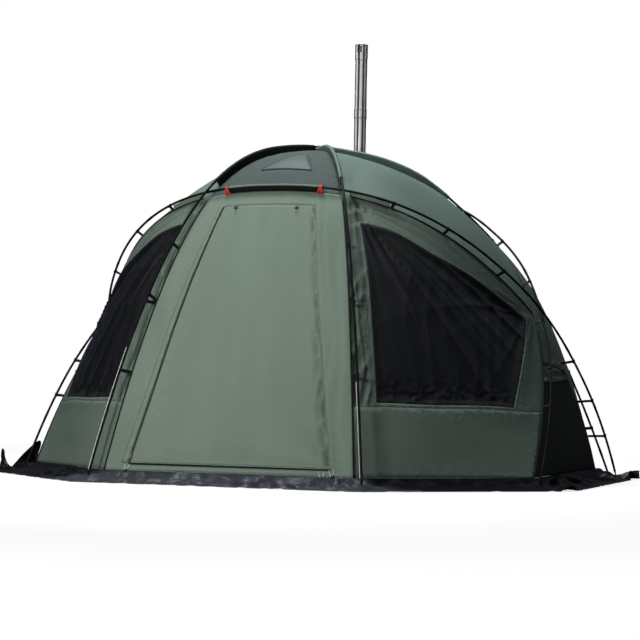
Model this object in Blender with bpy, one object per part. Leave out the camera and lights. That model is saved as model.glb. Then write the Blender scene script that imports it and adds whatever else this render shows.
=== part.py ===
import bpy
import bmesh
import math
import numpy as np
from mathutils.geometry import delaunay_2d_cdt
from mathutils import Vector

# Plan and height of the tent body
HEM_HEIGHT = 0.07
FRONT_HALF_WIDTH = 0.79
SHOULDER_HALF_WIDTH = 1.65
REAR_HALF_WIDTH = 1.60
HEM_HALF_DEPTH = 1.325
SHOULDER_DEPTH = 0.535
TOP_BACK = 0.095
TOP_HEIGHT = 2.135
CENTRE_HEIGHT = 0.50

# Poles
FRONT_FOOT_OUT = FRONT_HALF_WIDTH + 0.078
FRONT_FOOT_DEPTH = HEM_HALF_DEPTH + 0.077
REAR_FOOT_OUT = REAR_HALF_WIDTH + 0.070
REAR_FOOT_DEPTH = HEM_HALF_DEPTH + 0.130
BROW_FOOT_OUT = REAR_HALF_WIDTH + 0.125
BROW_FOOT_DEPTH = HEM_HALF_DEPTH + 0.095
BROW_TOP_HEIGHT = 1.823
BROW_TOP_DEPTH = 0.660
BACK_FOOT_OUT = SHOULDER_HALF_WIDTH + 0.050
BACK_FOOT_DEPTH = SHOULDER_DEPTH + 0.083
BACK_TOP_HEIGHT = 1.900
BACK_TOP_DEPTH = 0.826
POLE_RADIUS = 0.0075
PIN_RADIUS = 0.0050
PIN_HEIGHT = 0.034
POLE_SIDES = 8
ROOF_POWER_SHARE = 2.6
HOOP_POWER_SHARE = 2.4
HOOP_ROUND_SHARE = 0.42
BEND_SHARE = 0.12
FIX_SHARE = 0.15
BOW_SHARE = 0.02

# Fit between neighbours and cloth
GAP = 0.0003
CLOTH = 0.004
SEAM_STEP = 0.095
HEM_STEP = 0.125
CLOTH_STEP = 0.17
POLE_STAND = 0.060
TOP_STAND = 0.034
BROW_STAND = 0.042
SIDE_STAND = 0.055
BACK_STAND = 0.050

# Shares of the panels where the features lie
SILL_SHARES = ((0.0, 0.225), (0.12, 0.232), (0.44, 0.262), (0.83, 0.334), (1.0, 0.385))
WINDOW_SHARES = ((0.065, 0.893), (0.20, 0.897), (0.38, 0.874), (0.545, 0.878), (0.70, 0.882),
                 (0.911, 0.889), (0.862, 0.60), (0.828, 0.350), (0.44, 0.275), (0.12, 0.246),
                 (0.103, 0.476), (0.085, 0.724))
DOOR_LEFT_SHARES = ((0.178, 0.937), (0.174, 0.79), (0.160, 0.638), (0.149, 0.514), (0.129, 0.271), (0.100, 0.026))
DOOR_RIGHT_SHARES = ((0.912, 0.026), (0.903, 0.10), (0.893, 0.244), (0.886, 0.375), (0.850, 0.801), (0.822, 0.937))
DOOR_LIFT_SHARE = 0.045
ZIP_SHARE = 0.0085
VENT_SHARES = ((0.247, 0.203), (0.340, 0.450), (0.385, 0.462), (0.613, 0.207))
FLAP_SHARES = ((0.0, 0.571), (0.18, 0.57), (0.40, 0.60))
CLIP_FRONT_SHARES = (0.80, 0.31)
CLIP_FAN_SHARE = 0.58
CLIP_BROW_SHARES = (0.20, 0.45, 0.72)
CLIP_BACK_SHARES = (0.42, 0.65, 0.95)

# Clips, sleeves and tabs
CLIP_WIDTH = 0.022
CLIP_WALL = 0.003
TAIL_THICKNESS = 0.004
FAN_WIDTH = 0.064
FAN_ROOT = 0.024
SLEEVE_WALL = 0.0025
WEB_THICKNESS = 0.003
TAB_DROP = 0.030
TAB_WIDTH = 0.020
TAB_THICKNESS = 0.003

# Snow skirt and foot straps
SKIRT_WIDTH = 0.275
SKIRT_FLAT = 0.185
SKIRT_WAVE = 0.012
CURL_HEIGHT = 0.060
SKIRT_RISE_SHARES = ((0.0, 1.0), (0.015, 0.62), (0.065, 0.25), (0.17, 0.0))
STRAP_THICKNESS = 0.003
STRAP_HALF_WIDTH = 0.017
STRAP_BACK = 0.030
EYELET_HOLE = 0.0075
CURVE_SIDES = 16

# Stove pipe and stove
PIPE_OUT = 0.180
PIPE_BACK = 0.445
PIPE_RADIUS = 0.040
PIPE_WALL = 0.0020
PIPE_SIDES = 32
PIPE_JOINT_LOW = 2.363
PIPE_JOINT_HIGH = 2.422
PIPE_LOWER_TOP = 2.405
PIPE_UPPER_TOP = 2.790
ARRESTOR_LOW = 2.755
ARRESTOR_TOP = 2.855
SLOT_COUNT = 12
SLOT_LOW = 2.800
SLOT_HIGH = 2.842
SLOT_WIDTH = 0.009
JACK_HALF = 0.088
JACK_SLACK = 0.0016
STOVE_WIDTH = 0.24
STOVE_LENGTH = 0.42
STOVE_LOW = 0.17
STOVE_TOP = 0.40
STOVE_LEG = 0.016
STOVE_COLLAR = 0.035
PIPE_AT_SHARE = 0.76
SLIDER_LENGTH = 0.034
SLIDER_WIDTH = 0.016
SLIDER_HEIGHT = 0.008

CENTRE = np.array((0.0, TOP_BACK, CENTRE_HEIGHT))
SMALL = GAP / 3

for old in list(bpy.data.objects):
    bpy.data.objects.remove(old, do_unlink=True)


def unit(v):
    v = np.asarray(v, float)
    return v / np.linalg.norm(v)


def outward(p):
    return unit(np.asarray(p, float) - CENTRE)


def roof_base(s):
    front = np.array((-FRONT_FOOT_OUT, -FRONT_FOOT_DEPTH - TOP_BACK))
    rear = np.array((REAR_FOOT_OUT, REAR_FOOT_DEPTH - TOP_BACK))
    bend = (math.sqrt(s * s + BEND_SHARE ** 2) - BEND_SHARE) / (math.sqrt(1 + BEND_SHARE ** 2) - BEND_SHARE)
    xy = s * (rear - front) / 2 + bend * (rear + front) / 2
    z = TOP_HEIGHT * (1 - min(1.0, abs(s)) ** ROOF_POWER_SHARE)
    return np.array((xy[0], xy[1] + TOP_BACK, z))


def hoop_base(s, foot_x, foot_y, top_y, top_z):
    q = math.sin(s * math.pi / 2)
    rise = max(0.0, 1 - abs(q) ** HOOP_POWER_SHARE) ** HOOP_ROUND_SHARE
    return np.array((foot_x * q, foot_y + (top_y - foot_y) * rise, top_z * rise))


def base(pole, s):
    if pole == "A":
        return roof_base(s)
    if pole == "B":
        p = roof_base(s)
        return np.array((-p[0], p[1], p[2]))
    if pole == "C":
        return hoop_base(s, BROW_FOOT_OUT, BROW_FOOT_DEPTH, -BROW_TOP_DEPTH, BROW_TOP_HEIGHT)
    return hoop_base(s, BACK_FOOT_OUT, -BACK_FOOT_DEPTH, BACK_TOP_DEPTH, BACK_TOP_HEIGHT)


def nearest(first, a0, a1, second, b0, b1):
    for _ in range(12):
        ss = np.linspace(a0, a1, 21)
        tt = np.linspace(b0, b1, 21)
        one = np.array([base(first, s) for s in ss])
        two = np.array([base(second, t) for t in tt])
        d = np.linalg.norm(one[:, None] - two[None], axis=2)
        i, j = np.unravel_index(d.argmin(), d.shape)
        da = (a1 - a0) / 6
        db = (b1 - b0) / 6
        a0 = ss[i] - da
        a1 = ss[i] + da
        b0 = tt[j] - db
        b1 = tt[j] + db
    return ss[i], tt[j]


def heading(pole, s):
    return unit(base(pole, s + SMALL) - base(pole, s - SMALL))


FIX = {"A": [], "B": [], "C": [], "D": []}
CROSS = {}


def cross(name, over, over_range, under, under_range):
    s, t = nearest(over, over_range[0], over_range[1], under, under_range[0], under_range[1])
    p = base(over, s)
    q = base(under, t)
    o = unit(np.cross(heading(over, s), heading(under, t)))
    mid = (p + q) / 2
    if o @ outward(mid) < 0:
        o = -o
    lift = POLE_RADIUS + GAP / 2
    FIX[over].append((s, mid + o * lift - p))
    FIX[under].append((t, mid - o * lift - q))
    CROSS[name] = (mid, s, t)


FRONT_RANGE = (-0.6, -0.3)
REAR_RANGE = (0.3, 0.65)
TOP_RANGE = (-0.1, 0.1)
BROW_RANGE = (0.05, 0.3)
SIDE_RANGE = (0.5, 0.85)
BACK_RANGE = (0.1, 0.5)


def flipped(pair):
    return (-pair[1], -pair[0])


cross("TOP", "A", TOP_RANGE, "B", TOP_RANGE)
cross("BL", "A", FRONT_RANGE, "C", flipped(BROW_RANGE))
cross("BR", "B", FRONT_RANGE, "C", BROW_RANGE)
cross("XR", "C", SIDE_RANGE, "D", SIDE_RANGE)
cross("XL", "C", flipped(SIDE_RANGE), "D", flipped(SIDE_RANGE))
cross("KR", "A", REAR_RANGE, "D", BACK_RANGE)
cross("KL", "B", REAR_RANGE, "D", flipped(BACK_RANGE))


def pole_at(name, s):
    p = base(name, s)
    for k, d in FIX[name]:
        x = abs(s - k) / FIX_SHARE
        if x < 1:
            p = p + d * (1 - x * x) ** 2
    return p


def under(name, stand):
    mid = CROSS[name][0]
    return mid - outward(mid) * stand


NODE = {
    "TOP": under("TOP", TOP_STAND),
    "BL": under("BL", BROW_STAND),
    "BR": under("BR", BROW_STAND),
    "XL": under("XL", SIDE_STAND),
    "XR": under("XR", SIDE_STAND),
    "KL": under("KL", BACK_STAND),
    "KR": under("KR", BACK_STAND),
    "F1": np.array((-FRONT_HALF_WIDTH, -HEM_HALF_DEPTH, HEM_HEIGHT)),
    "F2": np.array((FRONT_HALF_WIDTH, -HEM_HALF_DEPTH, HEM_HEIGHT)),
    "F3": np.array((SHOULDER_HALF_WIDTH, -SHOULDER_DEPTH, HEM_HEIGHT)),
    "F8": np.array((-SHOULDER_HALF_WIDTH, -SHOULDER_DEPTH, HEM_HEIGHT)),
    "F4": np.array((REAR_HALF_WIDTH, HEM_HALF_DEPTH, HEM_HEIGHT)),
    "F7": np.array((-REAR_HALF_WIDTH, HEM_HALF_DEPTH, HEM_HEIGHT)),
}


def at_height(name, z, low, high):
    for _ in range(60):
        mid = (low + high) / 2
        if base(name, mid)[2] < z:
            low = mid
        else:
            high = mid
    return (low + high) / 2


SEAMS = {}


def seam(a, b, name, s0, s1, extra=()):
    dense = np.linspace(s0, s1, 401)
    pts = np.array([pole_at(name, s) for s in dense])
    run = np.concatenate(([0], np.cumsum(np.linalg.norm(np.diff(pts, axis=0), axis=1))))
    n = max(4, round(run[-1] / SEAM_STEP))
    t = np.linspace(0, 1, n + 1)
    for e in extra:
        t[np.abs(t - e).argmin()] = e
    ss = np.interp(t * run[-1], run, dense)
    line = np.array([pole_at(name, s) - outward(pole_at(name, s)) * POLE_STAND for s in ss])
    line = line + (1 - t)[:, None] * (NODE[a] - line[0]) + t[:, None] * (NODE[b] - line[-1])
    SEAMS[a, b] = (line, t, name, ss)


def low_of(name, side):
    return at_height(name, HEM_HEIGHT, side, side / 2)


SILL_FRONT = SILL_SHARES[0][1]
SILL_SHOULDER = SILL_SHARES[-1][1]
FLAP_SHARE = FLAP_SHARES[0][1]
FLAP_BACK_SHARE = FLAP_SHARES[-1][1]
seam("F1", "BL", "A", low_of("A", -1), CROSS["BL"][1], (SILL_FRONT,))
seam("F2", "BR", "B", low_of("B", -1), CROSS["BR"][1], (SILL_FRONT,))
seam("BL", "TOP", "A", CROSS["BL"][1], CROSS["TOP"][1])
seam("BR", "TOP", "B", CROSS["BR"][1], CROSS["TOP"][2])
seam("TOP", "KR", "A", CROSS["TOP"][1], CROSS["KR"][1])
seam("TOP", "KL", "B", CROSS["TOP"][2], CROSS["KL"][1])
seam("KR", "F4", "A", CROSS["KR"][1], low_of("A", 1))
seam("KL", "F7", "B", CROSS["KL"][1], low_of("B", 1))
seam("BL", "BR", "C", CROSS["BL"][2], CROSS["BR"][2])
seam("BR", "XR", "C", CROSS["BR"][2], CROSS["XR"][1])
seam("BL", "XL", "C", CROSS["BL"][2], CROSS["XL"][1])
seam("XR", "F4", "C", CROSS["XR"][1], low_of("C", 1), (1 - FLAP_BACK_SHARE,))
seam("XL", "F7", "C", CROSS["XL"][1], low_of("C", -1), (1 - FLAP_BACK_SHARE,))
seam("F3", "XR", "D", low_of("D", 1), CROSS["XR"][2], (SILL_SHOULDER, FLAP_SHARE))
seam("F8", "XL", "D", low_of("D", -1), CROSS["XL"][2], (SILL_SHOULDER, FLAP_SHARE))
seam("XR", "KR", "D", CROSS["XR"][2], CROSS["KR"][2])
seam("XL", "KL", "D", CROSS["XL"][2], CROSS["KL"][2])
seam("KL", "KR", "D", CROSS["KL"][2], CROSS["KR"][2])

for a, b in (("F1", "F2"), ("F2", "F3"), ("F3", "F4"), ("F1", "F8"), ("F8", "F7"), ("F7", "F4")):
    span = NODE[b] - NODE[a]
    n = max(4, round(np.linalg.norm(span) / HEM_STEP))
    t = np.linspace(0, 1, n + 1)
    SEAMS[a, b] = (NODE[a] + span * t[:, None], t, None, None)


def curve(a, b):
    if (a, b) in SEAMS:
        return SEAMS[a, b][0], SEAMS[a, b][1]
    line, t = SEAMS[b, a][:2]
    return line[::-1], 1 - t[::-1]


def along(a, b, x):
    line, t = curve(a, b)
    return np.array([np.interp(x, t, line[:, k]) for k in range(3)])


def length(a, b):
    line = curve(a, b)[0]
    return np.linalg.norm(np.diff(line, axis=0), axis=1).sum()


class Quad:
    def __init__(self, a, b, c, d):
        self.k = (a, b, c, d)
        self.scale = np.array(((length(a, b) + length(d, c)) / 2, (length(a, d) + length(b, c)) / 2))

    def at(self, u, v):
        a, b, c, d = self.k
        low = along(a, b, u)
        high = along(d, c, u)
        left = along(a, d, v)
        right = along(b, c, v)
        na, nb, nc, nd = (NODE[x] for x in self.k)
        edges = (1 - v) * low + v * high + (1 - u) * left + u * right
        return edges - (1 - u) * (1 - v) * na - u * (1 - v) * nb - u * v * nc - (1 - u) * v * nd

    def outline(self):
        a, b, c, d = self.k
        out = [(t, 0.0) for t in curve(a, b)[1][:-1]]
        out += [(1.0, t) for t in curve(b, c)[1][:-1]]
        out += [(t, 1.0) for t in (1 - curve(c, d)[1])[:-1]]
        out += [(0.0, t) for t in (1 - curve(d, a)[1])[:-1]]
        return out


class Tri:
    def __init__(self, a, b, c):
        self.k = (a, b, c)
        self.scale = np.array((length(a, b), length(a, c)))

    def at(self, u, v):
        a, b, c = self.k
        w = 1 - u - v
        na, nb, nc = (NODE[x] for x in self.k)
        one = w * (along(a, b, u) + along(a, c, v) - na)
        two = u * (along(b, c, v) + along(b, a, w) - nb)
        return one + two + v * (along(c, a, w) + along(c, b, u) - nc)

    def outline(self):
        a, b, c = self.k
        out = [(t, 0.0) for t in curve(a, b)[1][:-1]]
        out += [(1 - t, t) for t in curve(b, c)[1][:-1]]
        out += [(0.0, 1 - t) for t in curve(c, a)[1][:-1]]
        return out


PANEL = {
    "front": Quad("F1", "F2", "BR", "BL"),
    "side_r": Quad("F2", "F3", "XR", "BR"),
    "side_l": Quad("F1", "F8", "XL", "BL"),
    "roof_r": Quad("BR", "XR", "KR", "TOP"),
    "roof_l": Quad("BL", "XL", "KL", "TOP"),
    "roof_f": Tri("BL", "BR", "TOP"),
    "roof_b": Tri("KL", "KR", "TOP"),
    "rear_r": Tri("F3", "F4", "XR"),
    "rear_l": Tri("F8", "F7", "XL"),
    "corner_r": Tri("F4", "KR", "XR"),
    "corner_l": Tri("F7", "KL", "XL"),
    "back": Quad("F7", "F4", "KR", "KL"),
}


def divided(points, scale, step):
    out = [points[0]]
    for p, q in zip(points[:-1], points[1:]):
        span = (np.array(q) - np.array(p)) * scale
        n = max(1, round(np.linalg.norm(span) / step))
        for i in range(1, n + 1):
            out.append(tuple(np.array(p) + (np.array(q) - np.array(p)) * i / n))
    return out


def inside(p, loop):
    hit = False
    for (x0, y0), (x1, y1) in zip(loop, loop[1:] + loop[:1]):
        if (y0 > p[1]) != (y1 > p[1]):
            if p[0] < x0 + (p[1] - y0) * (x1 - x0) / (y1 - y0):
                hit = not hit
    return hit


def clear_of(p, loop, margin):
    for a, b in zip(loop, loop[1:] + loop[:1]):
        a = np.array(a)
        b = np.array(b)
        span = b - a
        k = max(0.0, min(1.0, (np.array(p) - a) @ span / max(span @ span, SMALL ** 2)))
        if np.linalg.norm(a + span * k - p) < margin:
            return False
    return True


def filled(outline, holes, scale, step):
    middle = np.mean(np.array(outline) * scale, axis=0)

    def bowed(p):
        q = np.array(p) * scale - middle
        return tuple(q * (1 - BOW_SHARE * (q @ q)))

    loops = [[bowed(p) for p in loop] for loop in [outline] + holes]
    pts = []
    edges = []
    for loop in loops:
        start = len(pts)
        pts += loop
        edges += [(start + i, start + (i + 1) % len(loop)) for i in range(len(loop))]
    low = np.min(np.array(loops[0]), axis=0)
    high = np.max(np.array(loops[0]), axis=0)
    rows = int((high[1] - low[1]) / step) + 1
    cols = int((high[0] - low[0]) / step) + 2
    for j in range(1, rows + 1):
        for i in range(cols):
            p = (low[0] + (i + (j % 2) / 2) * step, low[1] + (j - 1 / 2) * step)
            if inside(p, loops[0]) and not any(inside(p, h) for h in loops[1:]):
                if all(clear_of(p, loop, step * 2 / 5) for loop in loops):
                    pts.append(p)
    made = delaunay_2d_cdt([Vector(p) for p in pts], edges, [], 0, SMALL / 100)
    out = []
    for p in made[0]:
        q = np.array(p)
        r = q
        for _ in range(30):
            r = q / (1 - BOW_SHARE * (r @ r))
        out.append(tuple((r + middle) / scale))
    faces = []
    for f in made[2]:
        c = np.mean([made[0][i] for i in f], axis=0)
        one = made[0][f[1]] - made[0][f[0]]
        two = made[0][f[2]] - made[0][f[0]]
        if abs(one.cross(two)) > SMALL ** 2 and inside(c, loops[0]) and not any(inside(c, h) for h in loops[1:]):
            faces.append(tuple(f) if one.cross(two) > 0 else tuple(f[::-1]))
    return out, faces


def material(name, color, rough, metal=0.0):
    mat = bpy.data.materials.new(name)
    mat.use_nodes = True
    shader = mat.node_tree.nodes["Principled BSDF"]
    shader.inputs["Base Color"].default_value = (color[0], color[1], color[2], 1.0)
    shader.inputs["Roughness"].default_value = rough
    shader.inputs["Metallic"].default_value = metal
    return mat


GREEN = (0.17, 0.23, 0.18)
DARK = (0.012, 0.014, 0.012)
BLACK = (0.010, 0.010, 0.011)
NAVY = (0.035, 0.040, 0.060)
STEEL = (0.60, 0.60, 0.60)
RED = (0.55, 0.03, 0.02)
CLEAR = (0.45, 0.50, 0.48)


def new_object(name, verts, faces, color, rough, metal=0.0, smooth=False):
    mesh = bpy.data.meshes.new(name)
    mesh.from_pydata([tuple(v) for v in verts], [], faces)
    mesh.update()
    bm = bmesh.new()
    bm.from_mesh(mesh)
    bmesh.ops.recalc_face_normals(bm, faces=bm.faces)
    bm.to_mesh(mesh)
    bm.free()
    obj = bpy.data.objects.new(name, mesh)
    bpy.context.scene.collection.objects.link(obj)
    mesh.materials.append(material(name, color, rough, metal))
    if smooth:
        for poly in mesh.polygons:
            poly.use_smooth = True
    return obj


def shell(name, parts, color, rough, bulge=None):
    # parts hold the patch, its outline and its holes, all in shares of the patch
    index = {}
    outer = []
    faces = []
    shares = []
    for patch, outline, holes in parts:
        pts, tris = filled(outline, holes, patch.scale, CLOTH_STEP)
        where = []
        spin = 0.0
        for p in pts:
            q = patch.at(p[0], p[1])
            key = tuple(np.round(q / SMALL).astype(int))
            if key not in index:
                index[key] = len(outer)
                outer.append(q)
                shares.append(p)
            where.append(index[key])
        for f in tris:
            a, b, c = (outer[where[i]] for i in f)
            spin += np.cross(b - a, c - a) @ outward(a)
        for f in tris:
            g = [where[i] for i in f]
            faces.append(tuple(g if spin > 0 else g[::-1]))
    count = {}
    for f in faces:
        for e in zip(f, f[1:] + f[:1]):
            count[e] = count.get(e, 0) + 1
    rim = [e for e in count if (e[1], e[0]) not in count]
    shift = {}
    for a, b in rim:
        side = unit(np.cross(outward(outer[a]), outer[b] - outer[a]))
        for k in (a, b):
            shift.setdefault(k, []).append(side)
    moved = list(outer)
    for k, sides in shift.items():
        if len(sides) == 2:
            total = (sides[0] + sides[1]) / max(1 + sides[0] @ sides[1], 1 / 4)
        else:
            total = unit(sum(sides))
        moved[k] = outer[k] + total * GAP / 2
    size = len(moved)
    inner = [p - outward(q) * CLOTH for p, q in zip(moved, outer)]
    if bulge is not None:
        moved = [p + outward(q) * (0.0 if k in shift else bulge(shares[k])) for k, (p, q) in enumerate(zip(moved, outer))]
    all_faces = list(faces)
    all_faces += [tuple(i + size for i in f[::-1]) for f in faces]
    all_faces += [(b, a, a + size, b + size) for a, b in rim]
    return new_object(name, moved + inner, all_faces, color, rough)


def rect_rings(rings, closed=False):
    faces = []
    n = len(rings[0])
    for k in range(len(rings) - (0 if closed else 1)):
        a = k * n
        b = ((k + 1) % len(rings)) * n
        for i in range(n):
            j = (i + 1) % n
            faces.append((a + i, a + j, b + j, b + i))
    return faces


def sweep(name, path, radii, color, rough, metal=0.0, sides=POLE_SIDES):
    rings = []
    path = [np.array(p, float) for p in path]
    for k, p in enumerate(path):
        q = path[max(0, k - 1)]
        r = path[min(len(path) - 1, k + 1)]
        t = unit(r - q)
        up = outward(p)
        up = unit(up - t * (up @ t))
        across = np.cross(t, up)
        turn = [2 * math.pi * i / sides for i in range(sides)]
        rings.append([p + (up * math.cos(a) + across * math.sin(a)) * radii[k] for a in turn])
        if k in (0, len(path) - 1):
            rings[-1] = [np.array((v[0], v[1], p[2])) for v in rings[-1]]
    faces = rect_rings(rings)
    faces.append(tuple(range(sides))[::-1])
    last = (len(rings) - 1) * sides
    faces.append(tuple(last + i for i in range(sides)))
    return new_object(name, [v for ring in rings for v in ring], faces, color, rough, metal, True)


# Foot straps lie on the skirt and take the pole tips
STRAP_LOW = CLOTH + GAP
STRAP_TOP = STRAP_LOW + STRAP_THICKNESS


def pole_path(runs, name, feet):
    ss = []
    for a, b in runs:
        if (a, b) in SEAMS:
            ss += list(SEAMS[a, b][3])
        else:
            ss += list(SEAMS[b, a][3][::-1])
        ss = ss if (a, b) == runs[-1] else ss[:-1]
    path = [pole_at(name, s) for s in ss]
    radii = [POLE_RADIUS] * len(path)
    for at_end, foot in ((False, feet[0]), (True, feet[1])):
        near = path[-1] if at_end else path[0]
        top = np.array((foot[0], foot[1], PIN_HEIGHT))
        share = (PIN_HEIGHT - STRAP_LOW) / (near[2] - STRAP_LOW)
        top[:2] = foot[:2] + (near[:2] - foot[:2]) * share / 3
        tip = np.array((foot[0], foot[1], STRAP_LOW))
        tail = [top, top + (tip - top) * GAP, tip]
        sizes = [POLE_RADIUS, PIN_RADIUS, PIN_RADIUS]
        if at_end:
            path = path + tail
            radii = radii + sizes
        else:
            path = tail[::-1] + path
            radii = sizes[::-1] + radii
    return path, radii


POLES = (
    ("roof_pole_left", "A", (("F1", "BL"), ("BL", "TOP"), ("TOP", "KR"), ("KR", "F4")), (-1, 1)),
    ("roof_pole_right", "B", (("F2", "BR"), ("BR", "TOP"), ("TOP", "KL"), ("KL", "F7")), (-1, 1)),
    ("brow_pole", "C", (("F7", "XL"), ("XL", "BL"), ("BL", "BR"), ("BR", "XR"), ("XR", "F4")), (-1, 1)),
    ("rear_pole", "D", (("F8", "XL"), ("XL", "KL"), ("KL", "KR"), ("KR", "XR"), ("XR", "F3")), (-1, 1)),
)
for label, name, runs, ends in POLES:
    path, radii = pole_path(runs, name, [base(name, e) for e in ends])
    sweep(label, path, radii, BLACK, 0.4, 0.5)


# Front wall with the door opening, the L shaped zip and the door
front = PANEL["front"]
DOOR_STEP = SEAM_STEP * 3 / 2
door_left = divided(list(DOOR_LEFT_SHARES), front.scale, DOOR_STEP)
hinge_low = front.at(DOOR_RIGHT_SHARES[0][0], DOOR_RIGHT_SHARES[0][1])
hinge_high = front.at(DOOR_RIGHT_SHARES[-1][0], DOOR_RIGHT_SHARES[-1][1])
hinge_axis = unit(hinge_high - hinge_low)
hinge_out = unit((0.0, -hinge_axis[2], hinge_axis[1]))
hinge_side = np.cross(hinge_axis, hinge_out)
door_right = []
for share in divided(list(DOOR_RIGHT_SHARES), front.scale, DOOR_STEP):
    low = 1 / 2
    high = 1.0
    for _ in range(50):
        mid = (low + high) / 2
        if (front.at(mid, share[1]) - hinge_low) @ hinge_side < 0:
            low = mid
        else:
            high = mid
    door_right.append((low, share[1]))
door_low = divided([door_left[-1], door_right[0]], front.scale, DOOR_STEP)
door_top = divided([door_right[-1], door_left[0]], front.scale, DOOR_STEP)
zip_left = [(u - ZIP_SHARE, v) for u, v in door_left[:-1]]
corner = (door_left[-1][0] - ZIP_SHARE, door_left[-1][1] - ZIP_SHARE)
zip_low = [(u, v - ZIP_SHARE) for u, v in door_low[1:]]
hole = door_right[:-1] + door_top + zip_left + [corner] + zip_low
# the lower hinge corner is cut short so that the leaf clears the zip as it swings
first = np.array(door_right[0])
raised = tuple(first + (np.array(door_right[1]) - first) * DOOR_LIFT_SHARE)
door = [raised] + door_right[1:-1] + door_top[:-1] + door_left[:-1] + door_low[:-1]
zipper = zip_left + [corner] + zip_low + door_low[::-1] + door_left[::-1][1:]
shell("front_wall", [(front, front.outline(), [hole])], GREEN, 0.8)
shell("door_panel", [(front, door, [])], GREEN, 0.8)
shell("door_zip", [(front, zipper, [])], BLACK, 0.5)

# Side walls above and below the sill seam, with the window cloth
for side, word in (("r", "right"), ("l", "left")):
    wall = PANEL["side_" + side]
    ring = wall.outline()
    sill = divided(list(SILL_SHARES), wall.scale, HEM_STEP)
    lower = [p for p in ring if p[1] == 0.0]
    lower += [p for p in ring if p[0] == 1.0 and 0.0 < p[1] < SILL_SHOULDER - SMALL]
    lower += sill[::-1]
    lower += [p for p in ring if p[0] == 0.0 and 0.0 < p[1] < SILL_FRONT - SMALL]
    upper = list(sill)
    upper += [p for p in ring if p[0] == 1.0 and p[1] > SILL_SHOULDER + SMALL]
    upper += [p for p in ring if p[1] == 1.0 and p[0] < 1.0]
    upper += [p for p in ring if p[0] == 0.0 and SILL_FRONT + SMALL < p[1] < 1.0]
    window = divided(list(WINDOW_SHARES) + [WINDOW_SHARES[0]], wall.scale, HEM_STEP)[:-1]
    shell("side_wall_" + word, [(wall, upper, [window])], GREEN, 0.8)
    shell("lower_wall_" + word, [(wall, lower, [])], GREEN, 0.8)
    shell("side_window_" + word, [(wall, window, [])], NAVY, 0.6)

    rear = PANEL["rear_" + side]
    ring = rear.outline()
    fold = divided([FLAP_SHARES[0], FLAP_SHARES[1], FLAP_SHARES[2]], rear.scale, HEM_STEP)
    low_part = [p for p in ring if p[1] < FLAP_BACK_SHARE - SMALL and (p[0] > 0.0 or p[1] == 0.0)]
    low_part += fold[::-1]
    low_part += [p for p in ring if p[0] == 0.0 and 0.0 < p[1] < FLAP_SHARE - SMALL]
    top_part = list(fold)
    top_part += [p for p in ring if p[1] > FLAP_BACK_SHARE + SMALL and p[0] > 0.0]
    top_part += [p for p in ring if p[0] == 0.0 and p[1] > FLAP_SHARE + SMALL]
    shell("rear_side_" + word, [(rear, low_part, [])], DARK, 0.8)
    shell("rolled_flap_" + word, [(rear, top_part, [])], GREEN, 0.8, lambda p: CLOTH * 3)

    roof = PANEL["roof_" + side]
    shell("roof_" + word, [(roof, roof.outline(), [])], GREEN, 0.8)

# Rear wall and both rear corners are one cloth
shell("rear_wall", [(PANEL[k], PANEL[k].outline(), []) for k in ("back", "corner_r", "corner_l")], GREEN, 0.8)

# Front roof panel with its clear vent window
roof = PANEL["roof_f"]
vent = divided(list(VENT_SHARES) + [VENT_SHARES[0]], roof.scale, HEM_STEP)[:-1]
shell("roof_front", [(roof, roof.outline(), [vent])], GREEN, 0.8)
shell("vent_window", [(roof, vent, [])], CLEAR, 0.3)


# Rear roof panel with the stove jack
def share_at(patch, x, y, start):
    p = np.array(start, float)
    for _ in range(40):
        q = patch.at(p[0], p[1])[:2]
        du = (patch.at(p[0] + GAP, p[1])[:2] - q) / GAP
        dv = (patch.at(p[0], p[1] + GAP)[:2] - q) / GAP
        p = p + np.linalg.solve(np.array((du, dv)).T, np.array((x, y)) - q) / 2
    return (float(p[0]), float(p[1]))


roof = PANEL["roof_b"]
START = (1 / 3, 1 / 3)
side = JACK_HALF
square = [(PIPE_OUT + i * side, PIPE_BACK + j * side) for i, j in ((-1, -1), (0, -1), (1, -1), (1, 0), (1, 1), (0, 1), (-1, 1), (-1, 0))]
jack = [share_at(roof, x, y, START) for x, y in square]
turns = [2 * math.pi * i / PIPE_SIDES for i in range(PIPE_SIDES)]
reach = PIPE_RADIUS + JACK_SLACK
round_hole = [share_at(roof, PIPE_OUT + reach * math.cos(a), PIPE_BACK + reach * math.sin(a), START) for a in turns]
shell("roof_rear", [(roof, roof.outline(), [jack])], GREEN, 0.8)
shell("stove_jack", [(roof, jack, [round_hole])], DARK, 0.7)


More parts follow.
